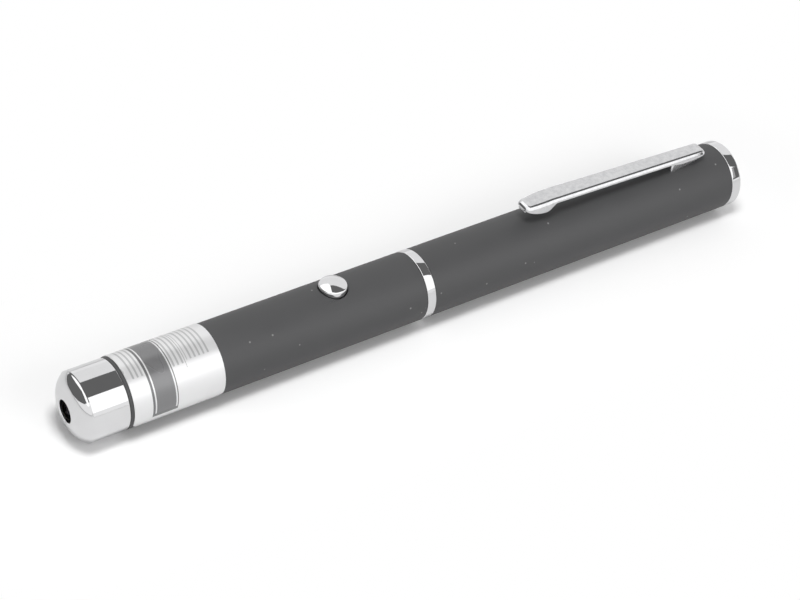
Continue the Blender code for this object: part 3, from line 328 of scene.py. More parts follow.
lacquer, tree, surface, place = start_material("matt_black_lacquer")
clouds = add(tree, "ShaderNodeTexNoise", {"Vector": place, "Scale": 1 / CLOUD, "Detail": 2.0})
tone = add(tree, "ShaderNodeMix", {0: clouds.outputs["Fac"], 6: srgb("3C3C3D"), 7: srgb("414142")},
           data_type="RGBA")
grains = add(tree, "ShaderNodeTexVoronoi", {"Vector": place, "Scale": 1 / SPECK_SPACING})
share = SPECK_SIZE / SPECK_SPACING
specks = add(tree, "ShaderNodeMapRange", {0: grains.outputs["Distance"], 1: share, 2: share * 2, 3: 0.45, 4: 0.0})
dust = add(tree, "ShaderNodeMix", {0: specks.outputs[0], 6: tone.outputs[2], 7: srgb("A8A8A6")},
           data_type="RGBA")
peel = add(tree, "ShaderNodeTexNoise", {"Vector": place, "Scale": 1 / PEEL, "Detail": 2.0})
bump = add(tree, "ShaderNodeBump", {"Strength": 0.12, "Distance": PEEL_DEPTH, "Height": peel.outputs["Fac"]})
gloss = add(tree, "ShaderNodeMapRange", {0: clouds.outputs["Fac"], 3: 0.5, 4: 0.62})
link_surface(tree, surface, dust.outputs[2], gloss.outputs[0], bump.outputs[0])
print("specks of dust every", round(SPECK_SPACING / MM), "mm")

# %% [markdown]
# Most pieces of the pen come off a lathe, so they are made the same way here.
# A profile is drawn as a wire in the XZ plane, with Z as the distance from the pen's axis.
# A pair of numbers is a straight run to a point, and three numbers turn about a centre by some degrees.
# A spin then carries the wire round the axis, and the doubles where it closes are merged.

# %% Draw and spin profiles
ARC_STEP = 10.0
WELD = 0.0001 * MM
ROUND_STEPS = 128
FINE_STEPS = 192


def trace(start, moves, arc_step=ARC_STEP):
    """Draws a profile as a wire. Positive degrees turn clockwise, from +Z towards +X."""
    bm = bmesh.new()
    tip = bm.verts.new((start[0], 0, start[1]))
    for move in moves:
        if len(move) == 2:
            tip = bmesh.ops.extrude_vert_indiv(bm, verts=[tip])["verts"][0]
            tip.co = (move[0], 0, move[1])
            continue
        steps = max(1, math.ceil(abs(move[2]) / arc_step))
        turned = bmesh.ops.spin(bm, geom=[tip], cent=(move[0], 0, move[1]), axis=(0, 1, 0),
                                angle=math.radians(move[2]), steps=steps)
        tip = next(item for item in turned["geom_last"] if isinstance(item, bmesh.types.BMVert))
    return bm


def revolve(bm, axis, steps=ROUND_STEPS):
    """Spins a wire a full turn about an axis through the origin, and closes it."""
    bmesh.ops.spin(bm, geom=bm.verts[:] + bm.edges[:], cent=(0, 0, 0), axis=axis, angle=math.tau,
                   steps=steps, use_merge=True)
    bmesh.ops.remove_doubles(bm, verts=bm.verts, dist=WELD)
    bmesh.ops.recalc_face_normals(bm, faces=bm.faces)
    return bm


print("an arc of 90 degrees has", math.ceil(90 / ARC_STEP), "steps")

# %% [markdown]
# A small round at an edge catches the light that a perfectly sharp edge loses.
# Smooth shading would also bend the light across the flats next to such a round.
# Marking the true corners sharp, and weighting normals by the area of the faces, keeps the flats flat.

# %% Finish a piece
SHARP = math.radians(38)
barrel_low, barrel_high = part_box("front_barrel")
AXIS = (barrel_low.z + barrel_high.z) / 2
RADIUS = (barrel_high.y - barrel_low.y) / 2


def finish(name, bm, material, body, slot, *nodes, shift=(0, 0, 0)):
    """Puts a mesh in its place as a piece that rides on a body and replaces some CAD nodes."""
    bmesh.ops.translate(bm, vec=shift, verts=bm.verts)
    for face in bm.faces:
        face.smooth = True
    for edge in bm.edges:
        edge.smooth = len(edge.link_faces) == 2 and edge.calc_face_angle(0) < SHARP
    corners = sum(len(face.verts) - 2 for face in bm.faces)
    made = new_object(name, bm, material)
    weighting = made.modifiers.new("Weighted normals", "WEIGHTED_NORMAL")
    weighting.keep_sharp = True
    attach(made, body)
    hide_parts(*nodes)
    print(name, "has", corners, "triangles")


print("the axis is", round(AXIS / MM, 3), "mm up and the tube's radius is", round(RADIUS / MM, 3), "mm")

# %% [markdown]
# The nose cap is turned from bar: a shallow dome, a crisp rim, a straight side and the beam's aperture.
# A sphere scaled flat would lose the crisp rim, and one arc doesn't reach the photograph's outline.
# So the profile has two arcs, one flat over the middle and one tighter towards the rim, that meet smoothly.

# %% Turn the nose cap
cap_low, cap_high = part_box("nose_cap")
FACE_ARC = 14.0 * MM
FACE_REACH = 4.5 * MM
SHOULDER_ARC = 4.55 * MM
RIM = 0.1 * MM
CAD_RIM = 2.2821 * MM
APERTURE = 2.25 * MM
APERTURE_EDGE = 0.22 * MM
FACE_WALL = 1.1 * MM
CAP_BORE = 5.26 * MM
EDGE = 0.12 * MM

mouth = math.asin((APERTURE + APERTURE_EDGE) / FACE_ARC)
bend = math.asin(FACE_REACH / FACE_ARC)
brow = math.asin((RADIUS - RIM - FACE_REACH) / SHOULDER_ARC + math.sin(bend))
rim_x = cap_low.x + CAD_RIM
shoulder_x = rim_x - RIM + SHOULDER_ARC * math.cos(brow)
face_x = shoulder_x - SHOULDER_ARC * math.cos(bend) + FACE_ARC * math.cos(bend)
mouth_x = face_x - FACE_ARC * math.cos(mouth)
cavity_x = rim_x + FACE_WALL
bm = trace((mouth_x, FACE_ARC * math.sin(mouth)), [
    (face_x, 0, math.degrees(bend - mouth)),
    (shoulder_x, FACE_REACH - SHOULDER_ARC * math.sin(bend), math.degrees(brow - bend)),
    (rim_x, RADIUS),
    (cap_high.x - EDGE, RADIUS),
    (cap_high.x - EDGE, RADIUS - EDGE, 90),
    (cap_high.x, CAP_BORE),
    (cavity_x, CAP_BORE),
    (cavity_x, APERTURE + FACE_WALL),
    (mouth_x + FACE_WALL, APERTURE),
    (mouth_x + APERTURE_EDGE, APERTURE),
    (mouth_x + APERTURE_EDGE, APERTURE + APERTURE_EDGE, 90),
], arc_step=2.0)
finish("turned_cap", revolve(bm, (1, 0, 0), FINE_STEPS), chrome, "front", "chrome", "nose_cap",
       shift=(0, 0, AXIS))
print("the dome stands", round((rim_x - mouth_x) / MM, 2), "mm over the rim")

# %% [markdown]
# The front tube is a plain tube with a hole for the button.
# A hole through a curved wall is easiest to get with a boolean, because its rim runs up and down the tube.
# The tube is sliced beside the hole first, so that no long sliver of a face runs from the hole to its end.
# The rim is then bevelled, because the lacquer rounds every cut edge.

# %% Cut tubes and holes
WALL = 0.75 * MM
TUBE_EDGE = 0.1 * MM


def cut(bm, cutter):
    """Takes one bmesh away from another with a boolean, and gives the result as a bmesh."""
    body = new_object("cut_body", bm, None)
    tool = new_object("cut_tool", cutter, None)
    boolean = body.modifiers.new("Cut", "BOOLEAN")
    boolean.operation = "DIFFERENCE"
    boolean.solver = "EXACT"
    boolean.object = tool
    result = bmesh.new()
    result.from_object(body, bpy.context.evaluated_depsgraph_get())
    bpy.data.objects.remove(body)
    bpy.data.objects.remove(tool)
    return result


def tube(low, high, bore):
    """A plain tube between two stations, with its outer edges rounded."""
    return revolve(trace((low + TUBE_EDGE, RADIUS), [
        (high - TUBE_EDGE, RADIUS),
        (high - TUBE_EDGE, RADIUS - TUBE_EDGE, 90),
        (high, bore),
        (low, bore),
        (low, RADIUS - TUBE_EDGE),
        (low + TUBE_EDGE, RADIUS - TUBE_EDGE, 90),
    ], arc_step=30.0), (1, 0, 0))


print("the tube's wall is", round(WALL / MM, 2), "mm")

# %% Make the front tube
HOLE = 2.95 * MM
HOLE_ROUND = 0.1 * MM
BY_HOLE = 0.8 * MM
NEAR_RIM = 0.005 * MM
button_low, button_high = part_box("push_button")
BUTTON_X = (button_low.x + button_high.x) / 2

bm = tube(barrel_low.x, barrel_high.x, RADIUS - WALL)
for side in (-1, 1):
    bmesh.ops.bisect_plane(bm, geom=bm.verts[:] + bm.edges[:] + bm.faces[:], dist=WELD,
                           plane_co=(BUTTON_X + side * (HOLE + BY_HOLE), 0, 0), plane_no=(1, 0, 0))
drill = bmesh.new()
bmesh.ops.create_cone(drill, cap_ends=True, segments=72, radius1=HOLE, radius2=HOLE, depth=RADIUS * 2)
bmesh.ops.translate(drill, vec=(BUTTON_X, 0, RADIUS), verts=drill.verts)
bm = cut(bm, drill)


def on_hole(vert):
    """True for a point on the outer rim of the button's hole."""
    across = math.hypot(vert.co.x - BUTTON_X, vert.co.y)
    out = math.hypot(vert.co.y, vert.co.z)
    return abs(across - HOLE) < NEAR_RIM and out > RADIUS - WALL / 2 and vert.co.z > 0


rim = [edge for edge in bm.edges if all(on_hole(vert) for vert in edge.verts)]
bmesh.ops.bevel(bm, geom=rim, affect="EDGES", offset=HOLE_ROUND, offset_type="OFFSET", segments=3,
                profile=0.5, material=-1, clamp_overlap=False)
finish("front_tube", bm, lacquer, "front", "painted_barrel", "front_barrel", shift=(0, 0, AXIS))
print("edges bevelled round the hole:", len(rim))

# %% [markdown]
# The rear tube is the same tube without a hole.
# Its open front end shows when the pen is unscrewed, so it has the female thread and the cells' bore.
# A thread is one ridge that runs round and forward, so a spin with a step forward each time makes it.

# %% Turn the rear tube
rear_low, rear_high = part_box("rear_barrel")
CELL_BORE = 5.6 * MM
THREAD_GROOVE = 6.29 * MM
THREAD_LENGTH = 5.4 * MM
PLUG_LENGTH = 4.0 * MM
bm = revolve(trace((rear_low.x + TUBE_EDGE, RADIUS), [
    (rear_high.x - TUBE_EDGE, RADIUS),
    (rear_high.x - TUBE_EDGE, RADIUS - TUBE_EDGE, 90),
    (rear_high.x, RADIUS - WALL),
    (rear_high.x - PLUG_LENGTH, RADIUS - WALL),
    (rear_high.x - PLUG_LENGTH, CELL_BORE),
    (rear_low.x + THREAD_LENGTH, CELL_BORE),
    (rear_low.x + THREAD_LENGTH, THREAD_GROOVE),
    (rear_low.x, THREAD_GROOVE),
    (rear_low.x, RADIUS - TUBE_EDGE),
    (rear_low.x + TUBE_EDGE, RADIUS - TUBE_EDGE, 90),
], arc_step=30.0), (1, 0, 0))
print("the rear tube is", round((rear_high.x - rear_low.x) / MM, 1), "mm long")

# %% Cut the thread
PITCH = 1.0 * MM
THREAD_CREST = 5.99 * MM
THREAD_STEPS = 64
THREAD_LEAD = 0.4 * MM
THREAD_BITE = 0.05 * MM
RIDGE_BASE = 0.38
RIDGE_TIP = 0.12


def thread(bm, x, crest, root, turns):
    """Adds a screw's ridge that starts at x over the top: a closed wire spun with a step forward each time."""
    base, tip = RIDGE_BASE * PITCH, RIDGE_TIP * PITCH
    wire = trace((x - base, root), [(x - tip, crest), (x + tip, crest), (x + base, root), (x - base, root)])
    bmesh.ops.remove_doubles(wire, verts=wire.verts, dist=WELD)
    bmesh.ops.spin(wire, geom=wire.verts[:] + wire.edges[:], cent=(0, 0, 0), axis=(1, 0, 0),
                   dvec=(PITCH / THREAD_STEPS, 0, 0), angle=math.tau * turns, steps=THREAD_STEPS * turns)
    bmesh.ops.holes_fill(wire, edges=[edge for edge in wire.edges if edge.is_boundary], sides=4)
    bmesh.ops.recalc_face_normals(wire, faces=wire.faces)
    ridge = bpy.data.meshes.new("ridge")
    wire.to_mesh(ridge)
    wire.free()
    bm.from_mesh(ridge)
    bpy.data.meshes.remove(ridge)


thread(bm, rear_low.x + THREAD_LEAD, THREAD_CREST, THREAD_GROOVE + THREAD_BITE, 4)
finish("rear_tube", bm, lacquer, "rear_tube", "painted_barrel", "rear_barrel", shift=(0, 0, AXIS))

# %% [markdown]
# Two thin chrome rings trim the pen: one loose between the tubes, and one on the tail cap.
# Both stand a hair proud of the lacquer, and their rounded edges catch a thin bright line.

# %% Turn the rings
ring_low, ring_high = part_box("mid_ring")
tail_low, tail_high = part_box("tail_cap")
RING = 7.04 * MM
RING_EDGE = 0.18 * MM
RING_BORE = 6.29 * MM
TAIL_ROUND = 0.45 * MM
TAIL_WIDTH = 2.4 * MM
SPIGOT = 6.19 * MM
SPIGOT_BORE = 5.59 * MM
TAIL_WALL = 1.2 * MM

bm = revolve(trace((ring_low.x + RING_EDGE, RING), [
    (ring_high.x - RING_EDGE, RING),
    (ring_high.x - RING_EDGE, RING - RING_EDGE, 90),
    (ring_high.x, RING_BORE),
    (ring_low.x, RING_BORE),
    (ring_low.x, RING - RING_EDGE),
    (ring_low.x + RING_EDGE, RING - RING_EDGE, 90),
], arc_step=10.0), (1, 0, 0), FINE_STEPS)
finish("joint_band", bm, chrome, "joint_ring", "chrome", "mid_ring", shift=(0, 0, AXIS))

tail_start = tail_high.x - TAIL_WIDTH
bm = revolve(trace((tail_high.x, 0), [
    (tail_high.x, RING - TAIL_ROUND),
    (tail_high.x - TAIL_ROUND, RING - TAIL_ROUND, -90),
    (tail_start + RING_EDGE, RING),
    (tail_start + RING_EDGE, RING - RING_EDGE, -90),
    (tail_start, SPIGOT),
    (tail_low.x, SPIGOT),
    (tail_low.x, SPIGOT_BORE),
    (tail_high.x - TAIL_WALL, SPIGOT_BORE),
    (tail_high.x - TAIL_WALL, 0),
], arc_step=10.0), (1, 0, 0), FINE_STEPS)
finish("tail_plug", bm, chrome, "rear_tube", "chrome", "tail_cap", shift=(0, 0, AXIS))

# %% [markdown]
# The push button is a chromed cap with a low dome, a straight wall and a hidden flange that keeps it in.
# Its dome is an arc of a large circle, like the nose, and its edge is rounded so that it doesn't cut a thumb.

# %% Turn the button
BUTTON = 2.82 * MM
BUTTON_ROUND = 0.5 * MM
FLANGE = 3.8 * MM
FLANGE_THICKNESS = 0.8 * MM
DOME_RISE = 0.7 * MM

button_dome = (BUTTON**2 + DOME_RISE**2) / (2 * DOME_RISE)
low, high = button_low.z - AXIS, button_high.z - AXIS
dome_z = high - button_dome
lean = math.asin((BUTTON - BUTTON_ROUND) / (button_dome - BUTTON_ROUND))
edge_z = dome_z + math.sqrt((button_dome - BUTTON_ROUND) ** 2 - (BUTTON - BUTTON_ROUND) ** 2)
bm = revolve(trace((0, high), [
    (0, dome_z, math.degrees(lean)),
    (BUTTON - BUTTON_ROUND, edge_z, 90 - math.degrees(lean)),
    (BUTTON, low + FLANGE_THICKNESS),
    (FLANGE, low + FLANGE_THICKNESS),
    (FLANGE, low),
    (0, low),
], arc_step=3.0), (0, 0, 1), 96)
finish("button_cap", bm, chrome, "button", "chrome", "push_button", shift=(BUTTON_X, 0, AXIS))

# %% [markdown]
# A brass coupling is pressed in the front tube, and its screwed end carries the rear tube.
# It only shows when the pen is unscrewed to change the cells, so its thread is a real helix there.
# Turned brass keeps fine rings from the tool, which go round the axis: waves along X in its own coordinates.
# Real rings are some 0.1 mm apart, too fine to show, so they are drawn a little coarser.

# %% Turn the screwed coupling
TOOL_RING = 0.35 * MM
TOOL_DEPTH = 0.01 * MM
TARNISH = 2.5 * MM

brass, tree, surface, place = start_material("turned_brass")
tarnish = add(tree, "ShaderNodeTexNoise", {"Vector": place, "Scale": 1 / TARNISH, "Detail": 3.0})
tone = add(tree, "ShaderNodeMix", {0: tarnish.outputs["Fac"], 6: srgb("CDB06E"), 7: srgb("A98A4C")},
           data_type="RGBA")
rings = add(tree, "ShaderNodeTexWave", {"Vector": place, "Scale": 1 / (TOOL_RING * math.tau), "Distortion": 0.4},
            wave_type="BANDS", bands_direction="X")
bump = add(tree, "ShaderNodeBump", {"Strength": 0.25, "Distance": TOOL_DEPTH, "Height": rings.outputs["Fac"]})
gloss = add(tree, "ShaderNodeMapRange", {0: tarnish.outputs["Fac"], 3: 0.2, 4: 0.4})
link_surface(tree, surface, tone.outputs[2], gloss.outputs[0], bump.outputs[0])
surface.inputs["Metallic"].default_value = 1.0

screw_low, screw_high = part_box("thread_coupling")
THREAD_ROOT = 5.89 * MM
CHAMFER = 0.15 * MM
bm = revolve(trace((screw_low.x, CELL_BORE), [
    (screw_low.x, SPIGOT - CHAMFER),
    (screw_low.x + CHAMFER, SPIGOT),
    (ring_high.x, SPIGOT),
    (ring_high.x, THREAD_ROOT),
    (screw_high.x - CHAMFER, THREAD_ROOT),
    (screw_high.x, THREAD_ROOT - CHAMFER),
    (screw_high.x, CELL_BORE),
    (screw_low.x, CELL_BORE),
]), (1, 0, 0))
thread(bm, rear_low.x + THREAD_LEAD + PITCH / 2, SPIGOT, THREAD_ROOT - THREAD_BITE, 3)
finish("screwed_coupling", bm, brass, "front", "brass", "thread_coupling", shift=(0, 0, AXIS))

# %% [markdown]
# The band is a strip of silver polyester foil, stuck round the tube.
# It could be one ring off the lathe, but the real one is a flat strip with rounded corners and two ends.
# So it is cut flat, sliced so that it can bend, and then each point is wrapped round the tube.

# %% Wrap the foil strip
band_low, band_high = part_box("label_band")
FOIL = 0.1 * MM
GLUE = 0.03 * MM
CORNER = 1.4 * MM
WRAP_START = math.radians(-160)
WRAP_END = math.radians(122)
SLICES = 110

bm = bmesh.new()
outer = RADIUS + GLUE + FOIL
bmesh.ops.create_grid(bm, x_segments=1, y_segments=1, size=0.5)
bmesh.ops.scale(bm, vec=(band_high.x - band_low.x, (WRAP_END - WRAP_START) * outer, 1), verts=bm.verts)
bmesh.ops.translate(bm, vec=((band_low.x + band_high.x) / 2, (WRAP_START + WRAP_END) / 2 * outer, 0),
                    verts=bm.verts)
bmesh.ops.bevel(bm, geom=bm.verts[:], affect="VERTICES", offset=CORNER, offset_type="OFFSET", segments=8,
                profile=0.5, material=-1)
for cut_line in range(1, SLICES):
    along = (WRAP_START + (WRAP_END - WRAP_START) * cut_line / SLICES) * outer
    bmesh.ops.bisect_plane(bm, geom=bm.verts[:] + bm.edges[:] + bm.faces[:], dist=WELD,
                           plane_co=(0, along, 0), plane_no=(0, 1, 0))
sheet = bmesh.ops.extrude_face_region(bm, geom=bm.faces[:])
bmesh.ops.translate(bm, vec=(0, 0, -FOIL), verts=[item for item in sheet["geom"]
                                                  if isinstance(item, bmesh.types.BMVert)])
for vert in bm.verts:
    angle = vert.co.y / outer
    out = outer + vert.co.z
    vert.co = (vert.co.x, -out * math.sin(angle), out * math.cos(angle))
bmesh.ops.recalc_face_normals(bm, faces=bm.faces)
print("the strip goes", round(math.degrees(WRAP_END - WRAP_START)), "degrees round the tube")

# %% [markdown]
# The foil is metallised film under a clear varnish: brighter than paint, duller than chrome.
# It is printed in a clear grey ink: one panel with a thin outline, a single line, and fine rules beside them.
# Each block of ink is found from two numbers, how far along the band a point is and how far round the tube.

# %% Find a point on the band
foil, tree, surface, place = start_material("printed_silver_foil")
apart = add(tree, "ShaderNodeSeparateXYZ", {0: place})
height = add(tree, "ShaderNodeMath", {0: apart.outputs["Z"], 1: AXIS}, operation="SUBTRACT")
side = add(tree, "ShaderNodeMath", {0: apart.outputs["Y"], 1: -1.0}, operation="MULTIPLY")
round_tube = add(tree, "ShaderNodeMath", {0: side.outputs[0], 1: height.outputs[0]}, operation="ARCTAN2")
along = add(tree, "ShaderNodeMapRange", {0: apart.outputs["X"], 1: band_low.x, 2: band_high.x}, clamp=False)


def inked(start, end, first, last, depth):
    """The ink of a printed block: shares of the band's length, degrees round it, and how dense it is."""
    across = add(tree, "ShaderNodeMath", {0: along.outputs[0], 1: (start + end) / 2, 2: (end - start) / 2},
                 operation="COMPARE")
    angles = math.radians(first + last) / 2, math.radians(last - first) / 2
    around = add(tree, "ShaderNodeMath", {0: round_tube.outputs[0], 1: angles[0], 2: angles[1]},
                 operation="COMPARE")
    block = add(tree, "ShaderNodeMath", {0: across.outputs[0], 1: around.outputs[0]}, operation="MULTIPLY")
    return add(tree, "ShaderNodeMath", {0: block.outputs[0], 1: depth}, operation="MULTIPLY")


print("the band is", round((band_high.x - band_low.x) / MM, 1), "mm long")

# %% Print the foil
CREASE = 9 * MM
CREASE_DEPTH = 0.02 * MM
RULE_PITCH = 0.048

# The panel, a light line inside each of its edges, its slightly lighter middle, and a thin rule beyond it
ink = inked(0.20, 0.478, -95, 108, 0.85)
for block in ((0.225, 0.24, -90, 101, -0.85), (0.452, 0.467, -90, 101, -0.85), (0.24, 0.452, -90, 101, -0.05),
              (0.626, 0.632, -95, 44, 0.55)):
    ink = add(tree, "ShaderNodeMath", {0: ink.outputs[0], 1: inked(*block).outputs[0]}, operation="ADD")
# The rules across the band, spaced by a share of its length
lines = add(tree, "ShaderNodeMath", {0: along.outputs[0], 1: RULE_PITCH}, operation="DIVIDE")
lines = add(tree, "ShaderNodeMath", {0: lines.outputs[0]}, operation="FRACT")
lines = add(tree, "ShaderNodeMath", {0: lines.outputs[0], 1: 0.5, 2: 0.2}, operation="COMPARE")
for block in ((0.05, 0.19, -70, 33, 0.4), (0.49, 0.61, -60, 36, 0.4), (0.65, 0.90, -75, 33, 0.4)):
    ruled = add(tree, "ShaderNodeMath", {0: inked(*block).outputs[0], 1: lines.outputs[0]},
                operation="MULTIPLY")
    ink = add(tree, "ShaderNodeMath", {0: ink.outputs[0], 1: ruled.outputs[0]}, operation="ADD")
creases = add(tree, "ShaderNodeTexNoise", {"Vector": place, "Scale": 1 / CREASE, "Detail": 1.0})
silver = add(tree, "ShaderNodeMix", {0: creases.outputs["Fac"], 6: srgb("E6E6E6"), 7: srgb("DEDEDF")},
             data_type="RGBA")
printed = add(tree, "ShaderNodeMix", {0: ink.outputs[0], 6: silver.outputs[2], 7: srgb("4E4E50")},
              data_type="RGBA")
gloss = add(tree, "ShaderNodeMapRange", {0: creases.outputs["Fac"], 3: 0.24, 4: 0.32})
bump = add(tree, "ShaderNodeBump", {"Strength": 0.05, "Distance": CREASE_DEPTH, "Height": creases.outputs["Fac"]})
link_surface(tree, surface, printed.outputs[2], gloss.outputs[0], bump.outputs[0])
surface.inputs["Metallic"].default_value = 0.5
finish("foil_band", bm, foil, "front", "foil", "label_band", shift=(0, 0, AXIS))

# %% [markdown]
# The pocket clip is pressed from thin spring steel and chromed.
# A press starts from a flat blank, folds its sides down and leaves a soft shoulder along each fold.
# The same order works here: a blank with rounded corners is sliced, its edge is extruded down as the sides,
# all of it is draped over the clip's curve, the fold is bevelled twice, and then the sheet gets its thickness.
# A single bevel would be a round of one size, but the photograph shows a wide soft turn above a small tight one.
# The front edge is turned back under the tip as a small lip, so that it slides over cloth.

# %% Draw the clip's curves
clip_low, clip_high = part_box("pocket_clip")
TIP_REACH = 0.3 * MM
CLIP_LENGTH = clip_high.x - clip_low.x + TIP_REACH
SHEET = 0.4 * MM
FRONT_WIDTH = 4.6 * MM
REAR_WIDTH = 3.8 * MM
FRONT_CORNER = 1.5 * MM
REAR_CORNER = 1.05 * MM
TIP_RISE = 3.9 * MM
CREST_RISE = 4.15 * MM
REAR_RISE = 2.48 * MM
CREST_BACK = 7.4 * MM
START_DEPTH = 0.9 * MM
LOBE_DEPTH = 2.2 * MM
LOBE_BACK = 5.1 * MM
LOBE_END = 7.4 * MM
ARM_DEPTH = 0.95 * MM
ROOT_LOBE = 0.6 * MM
saddle_low, saddle_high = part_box("clip_saddle")
front_back = saddle_low.x - clip_low.x + TIP_REACH
rear_back = saddle_high.x - clip_low.x + TIP_REACH


def ease(share):
    """A smooth step from 0 to 1."""
    share = min(1.0, max(0.0, share))
    return share * share * (3 - 2 * share)


def clip_top(back):
    """Height of the clip's top over the axis, at a distance back from its tip."""
    if back < CREST_BACK:
        return RADIUS + TIP_RISE + (CREST_RISE - TIP_RISE) * ease(back / CREST_BACK)
    share = (back - CREST_BACK) / (CLIP_LENGTH - CREST_BACK)
    return RADIUS + CREST_RISE + (REAR_RISE - CREST_RISE) * share


def clip_depth(back):
    """Depth of the clip's side, with the lobe of its foot and the shallow one over the saddle."""
    rise = math.sin(math.pi / 2 * min(1.0, max(0.0, back / LOBE_BACK)))
    lobe = START_DEPTH + (LOBE_DEPTH - START_DEPTH) * rise
    root = min(1.0, max(0.0, (back - front_back) / (rear_back - front_back)))
    arm = ARM_DEPTH + ROOT_LOBE * math.sin(math.pi * root)
    return lobe + (arm - lobe) * ease((back - LOBE_BACK) / (LOBE_END - LOBE_BACK))


print("the clip is", round(CLIP_LENGTH / MM, 1), "mm long")

# %% Cut the clip's blank
TIP_NARROW = 0.13
TIP_TAPER = 5.0 * MM
FINE_REACH = 8.9 * MM
FINE_SLICE = 0.3 * MM
LONG_SLICE = 1.8 * MM
ROOT_SLICE = 0.7 * MM

bm = bmesh.new()
bmesh.ops.create_grid(bm, x_segments=1, y_segments=1, size=0.5)
for vert in bm.verts:
    width, back = (FRONT_WIDTH, 0) if vert.co.x < 0 else (REAR_WIDTH, CLIP_LENGTH)
    vert.co = (back, math.copysign(width / 2, vert.co.y), 0)
for at_front, corner in ((True, FRONT_CORNER), (False, REAR_CORNER)):
    ends = [vert for vert in bm.verts if (vert.co.x < CLIP_LENGTH / 2) == at_front]
    bmesh.ops.bevel(bm, geom=ends, affect="VERTICES", offset=corner, offset_type="OFFSET", segments=5,
                    profile=0.5, material=-1)
back = FRONT_CORNER + FINE_SLICE
while back < CLIP_LENGTH - REAR_CORNER - FINE_SLICE:
    bmesh.ops.bisect_plane(bm, geom=bm.verts[:] + bm.edges[:] + bm.faces[:], dist=WELD,
                           plane_co=(back, 0, 0), plane_no=(1, 0, 0))
    near_root = back > front_back - LONG_SLICE
    back += FINE_SLICE if back < FINE_REACH else ROOT_SLICE if near_root else LONG_SLICE
for vert in bm.verts:
    vert.co.y *= 1 - TIP_NARROW * (1 - ease(vert.co.x / TIP_TAPER))
print("the blank has", len(bm.faces), "slices")

# %% Fold and thicken the clip
SHOULDER_DROP = 0.55 * MM
SHOULDER_LOWER = 0.12 * MM
TOP_TURN = 0.36 * MM
LOW_TURN = 0.18 * MM
FLARE = 0.07
SHEET_ROUND = 0.1 * MM
STEEP = math.radians(60)
# The upward part of a face's normal: more than the first is the top, less than the second is a side
LEVEL = 0.9
UPRIGHT = 0.3

fold = [edge for edge in bm.edges if edge.is_boundary]
lowered = bmesh.ops.extrude_edge_only(bm, edges=fold)["geom"]
lowered = {item for item in lowered if isinstance(item, bmesh.types.BMVert)}
for vert in bm.verts:
    depth = clip_depth(vert.co.x) if vert in lowered else 0
    vert.co.z = clip_top(vert.co.x) - depth
    vert.co.y += math.copysign(depth * FLARE, vert.co.y)
bmesh.ops.recalc_face_normals(bm, faces=bm.faces)
if sum(face.normal.z * face.calc_area() for face in bm.faces) < 0:
    bmesh.ops.reverse_faces(bm, faces=bm.faces)

slopes = set(bmesh.ops.bevel(bm, geom=fold, affect="EDGES", offset=SHOULDER_DROP, offset_type="OFFSET",
                             segments=1, profile=0.5, material=-1)["faces"])
beside = [(edge, [face.normal.z for face in edge.link_faces if face not in slopes]) for edge in bm.edges
          if len(edge.link_faces) == 2 and any(face in slopes for face in edge.link_faces)]
upper = [edge for edge, tilts in beside if tilts and tilts[0] > LEVEL]
lower = [edge for edge, tilts in beside if tilts and tilts[0] < UPRIGHT]
bmesh.ops.translate(bm, vec=(0, 0, -SHOULDER_LOWER), verts=list({vert for edge in lower for vert in edge.verts}))
bmesh.ops.bevel(bm, geom=upper, affect="EDGES", offset=TOP_TURN, offset_type="OFFSET", segments=6,
                profile=0.5, material=-1)
bmesh.ops.bevel(bm, geom=[edge for edge in lower if edge.is_valid], affect="EDGES", offset=LOW_TURN,
                offset_type="OFFSET", segments=4, profile=0.5, material=-1)
bmesh.ops.solidify(bm, geom=bm.faces[:], thickness=SHEET)
bmesh.ops.recalc_face_normals(bm, faces=bm.faces)
sharp = [edge for edge in bm.edges if edge.is_manifold and edge.calc_face_angle(0) > STEEP]
bmesh.ops.bevel(bm, geom=sharp, affect="EDGES", offset=SHEET_ROUND, offset_type="OFFSET", segments=3,
                profile=0.5, material=-1, clamp_overlap=True)
print("edges rounded on the sheet:", len(sharp))

# %% Turn the clip's lip in
LIP_LENGTH = 1.5 * MM
LIP_HALF = 1.05 * MM
LIP_GAP = 0.2 * MM
LIP_ROUND = 0.14 * MM

lip = bmesh.ops.create_cube(bm, size=1.0)["verts"]
bmesh.ops.scale(bm, vec=(LIP_LENGTH, 2 * LIP_HALF, SHEET), verts=lip)
bmesh.ops.translate(bm, vec=(LIP_LENGTH / 2 + SHEET_ROUND, 0,
                             clip_top(0) - START_DEPTH - LIP_GAP - SHEET / 2), verts=lip)
bmesh.ops.bevel(bm, geom=list({edge for vert in lip for edge in vert.link_edges}), affect="EDGES",
                offset=LIP_ROUND, offset_type="OFFSET", segments=4, profile=0.5, material=-1)
finish("clip_pressing", bm, darker_rougher_chrome, "clip", "chrome", "pocket_clip",
       shift=(clip_low.x - TIP_REACH, 0, AXIS))

# %% [markdown]
# The clip grips a small saddle that a rivet holds on the tube.
# Its underside is an arc of the tube's own circle, so that it sits on the tube without a gap.
# It starts as a straight bar, which is easy to bevel, and is then sliced and drawn in towards its rear.

# %% Cut the saddle's bar
FLUSH = 0.03 * MM
SADDLE_GAP = 0.04 * MM
TONGUE_SIDE = 0.2 * MM
TONGUE_GAP = 0.12 * MM
SEAT = RADIUS + 0.02 * MM


def clip_half(back):
    """Half the clip's width, at a distance back from its tip."""
    return (FRONT_WIDTH + (REAR_WIDTH - FRONT_WIDTH) * back / CLIP_LENGTH) / 2


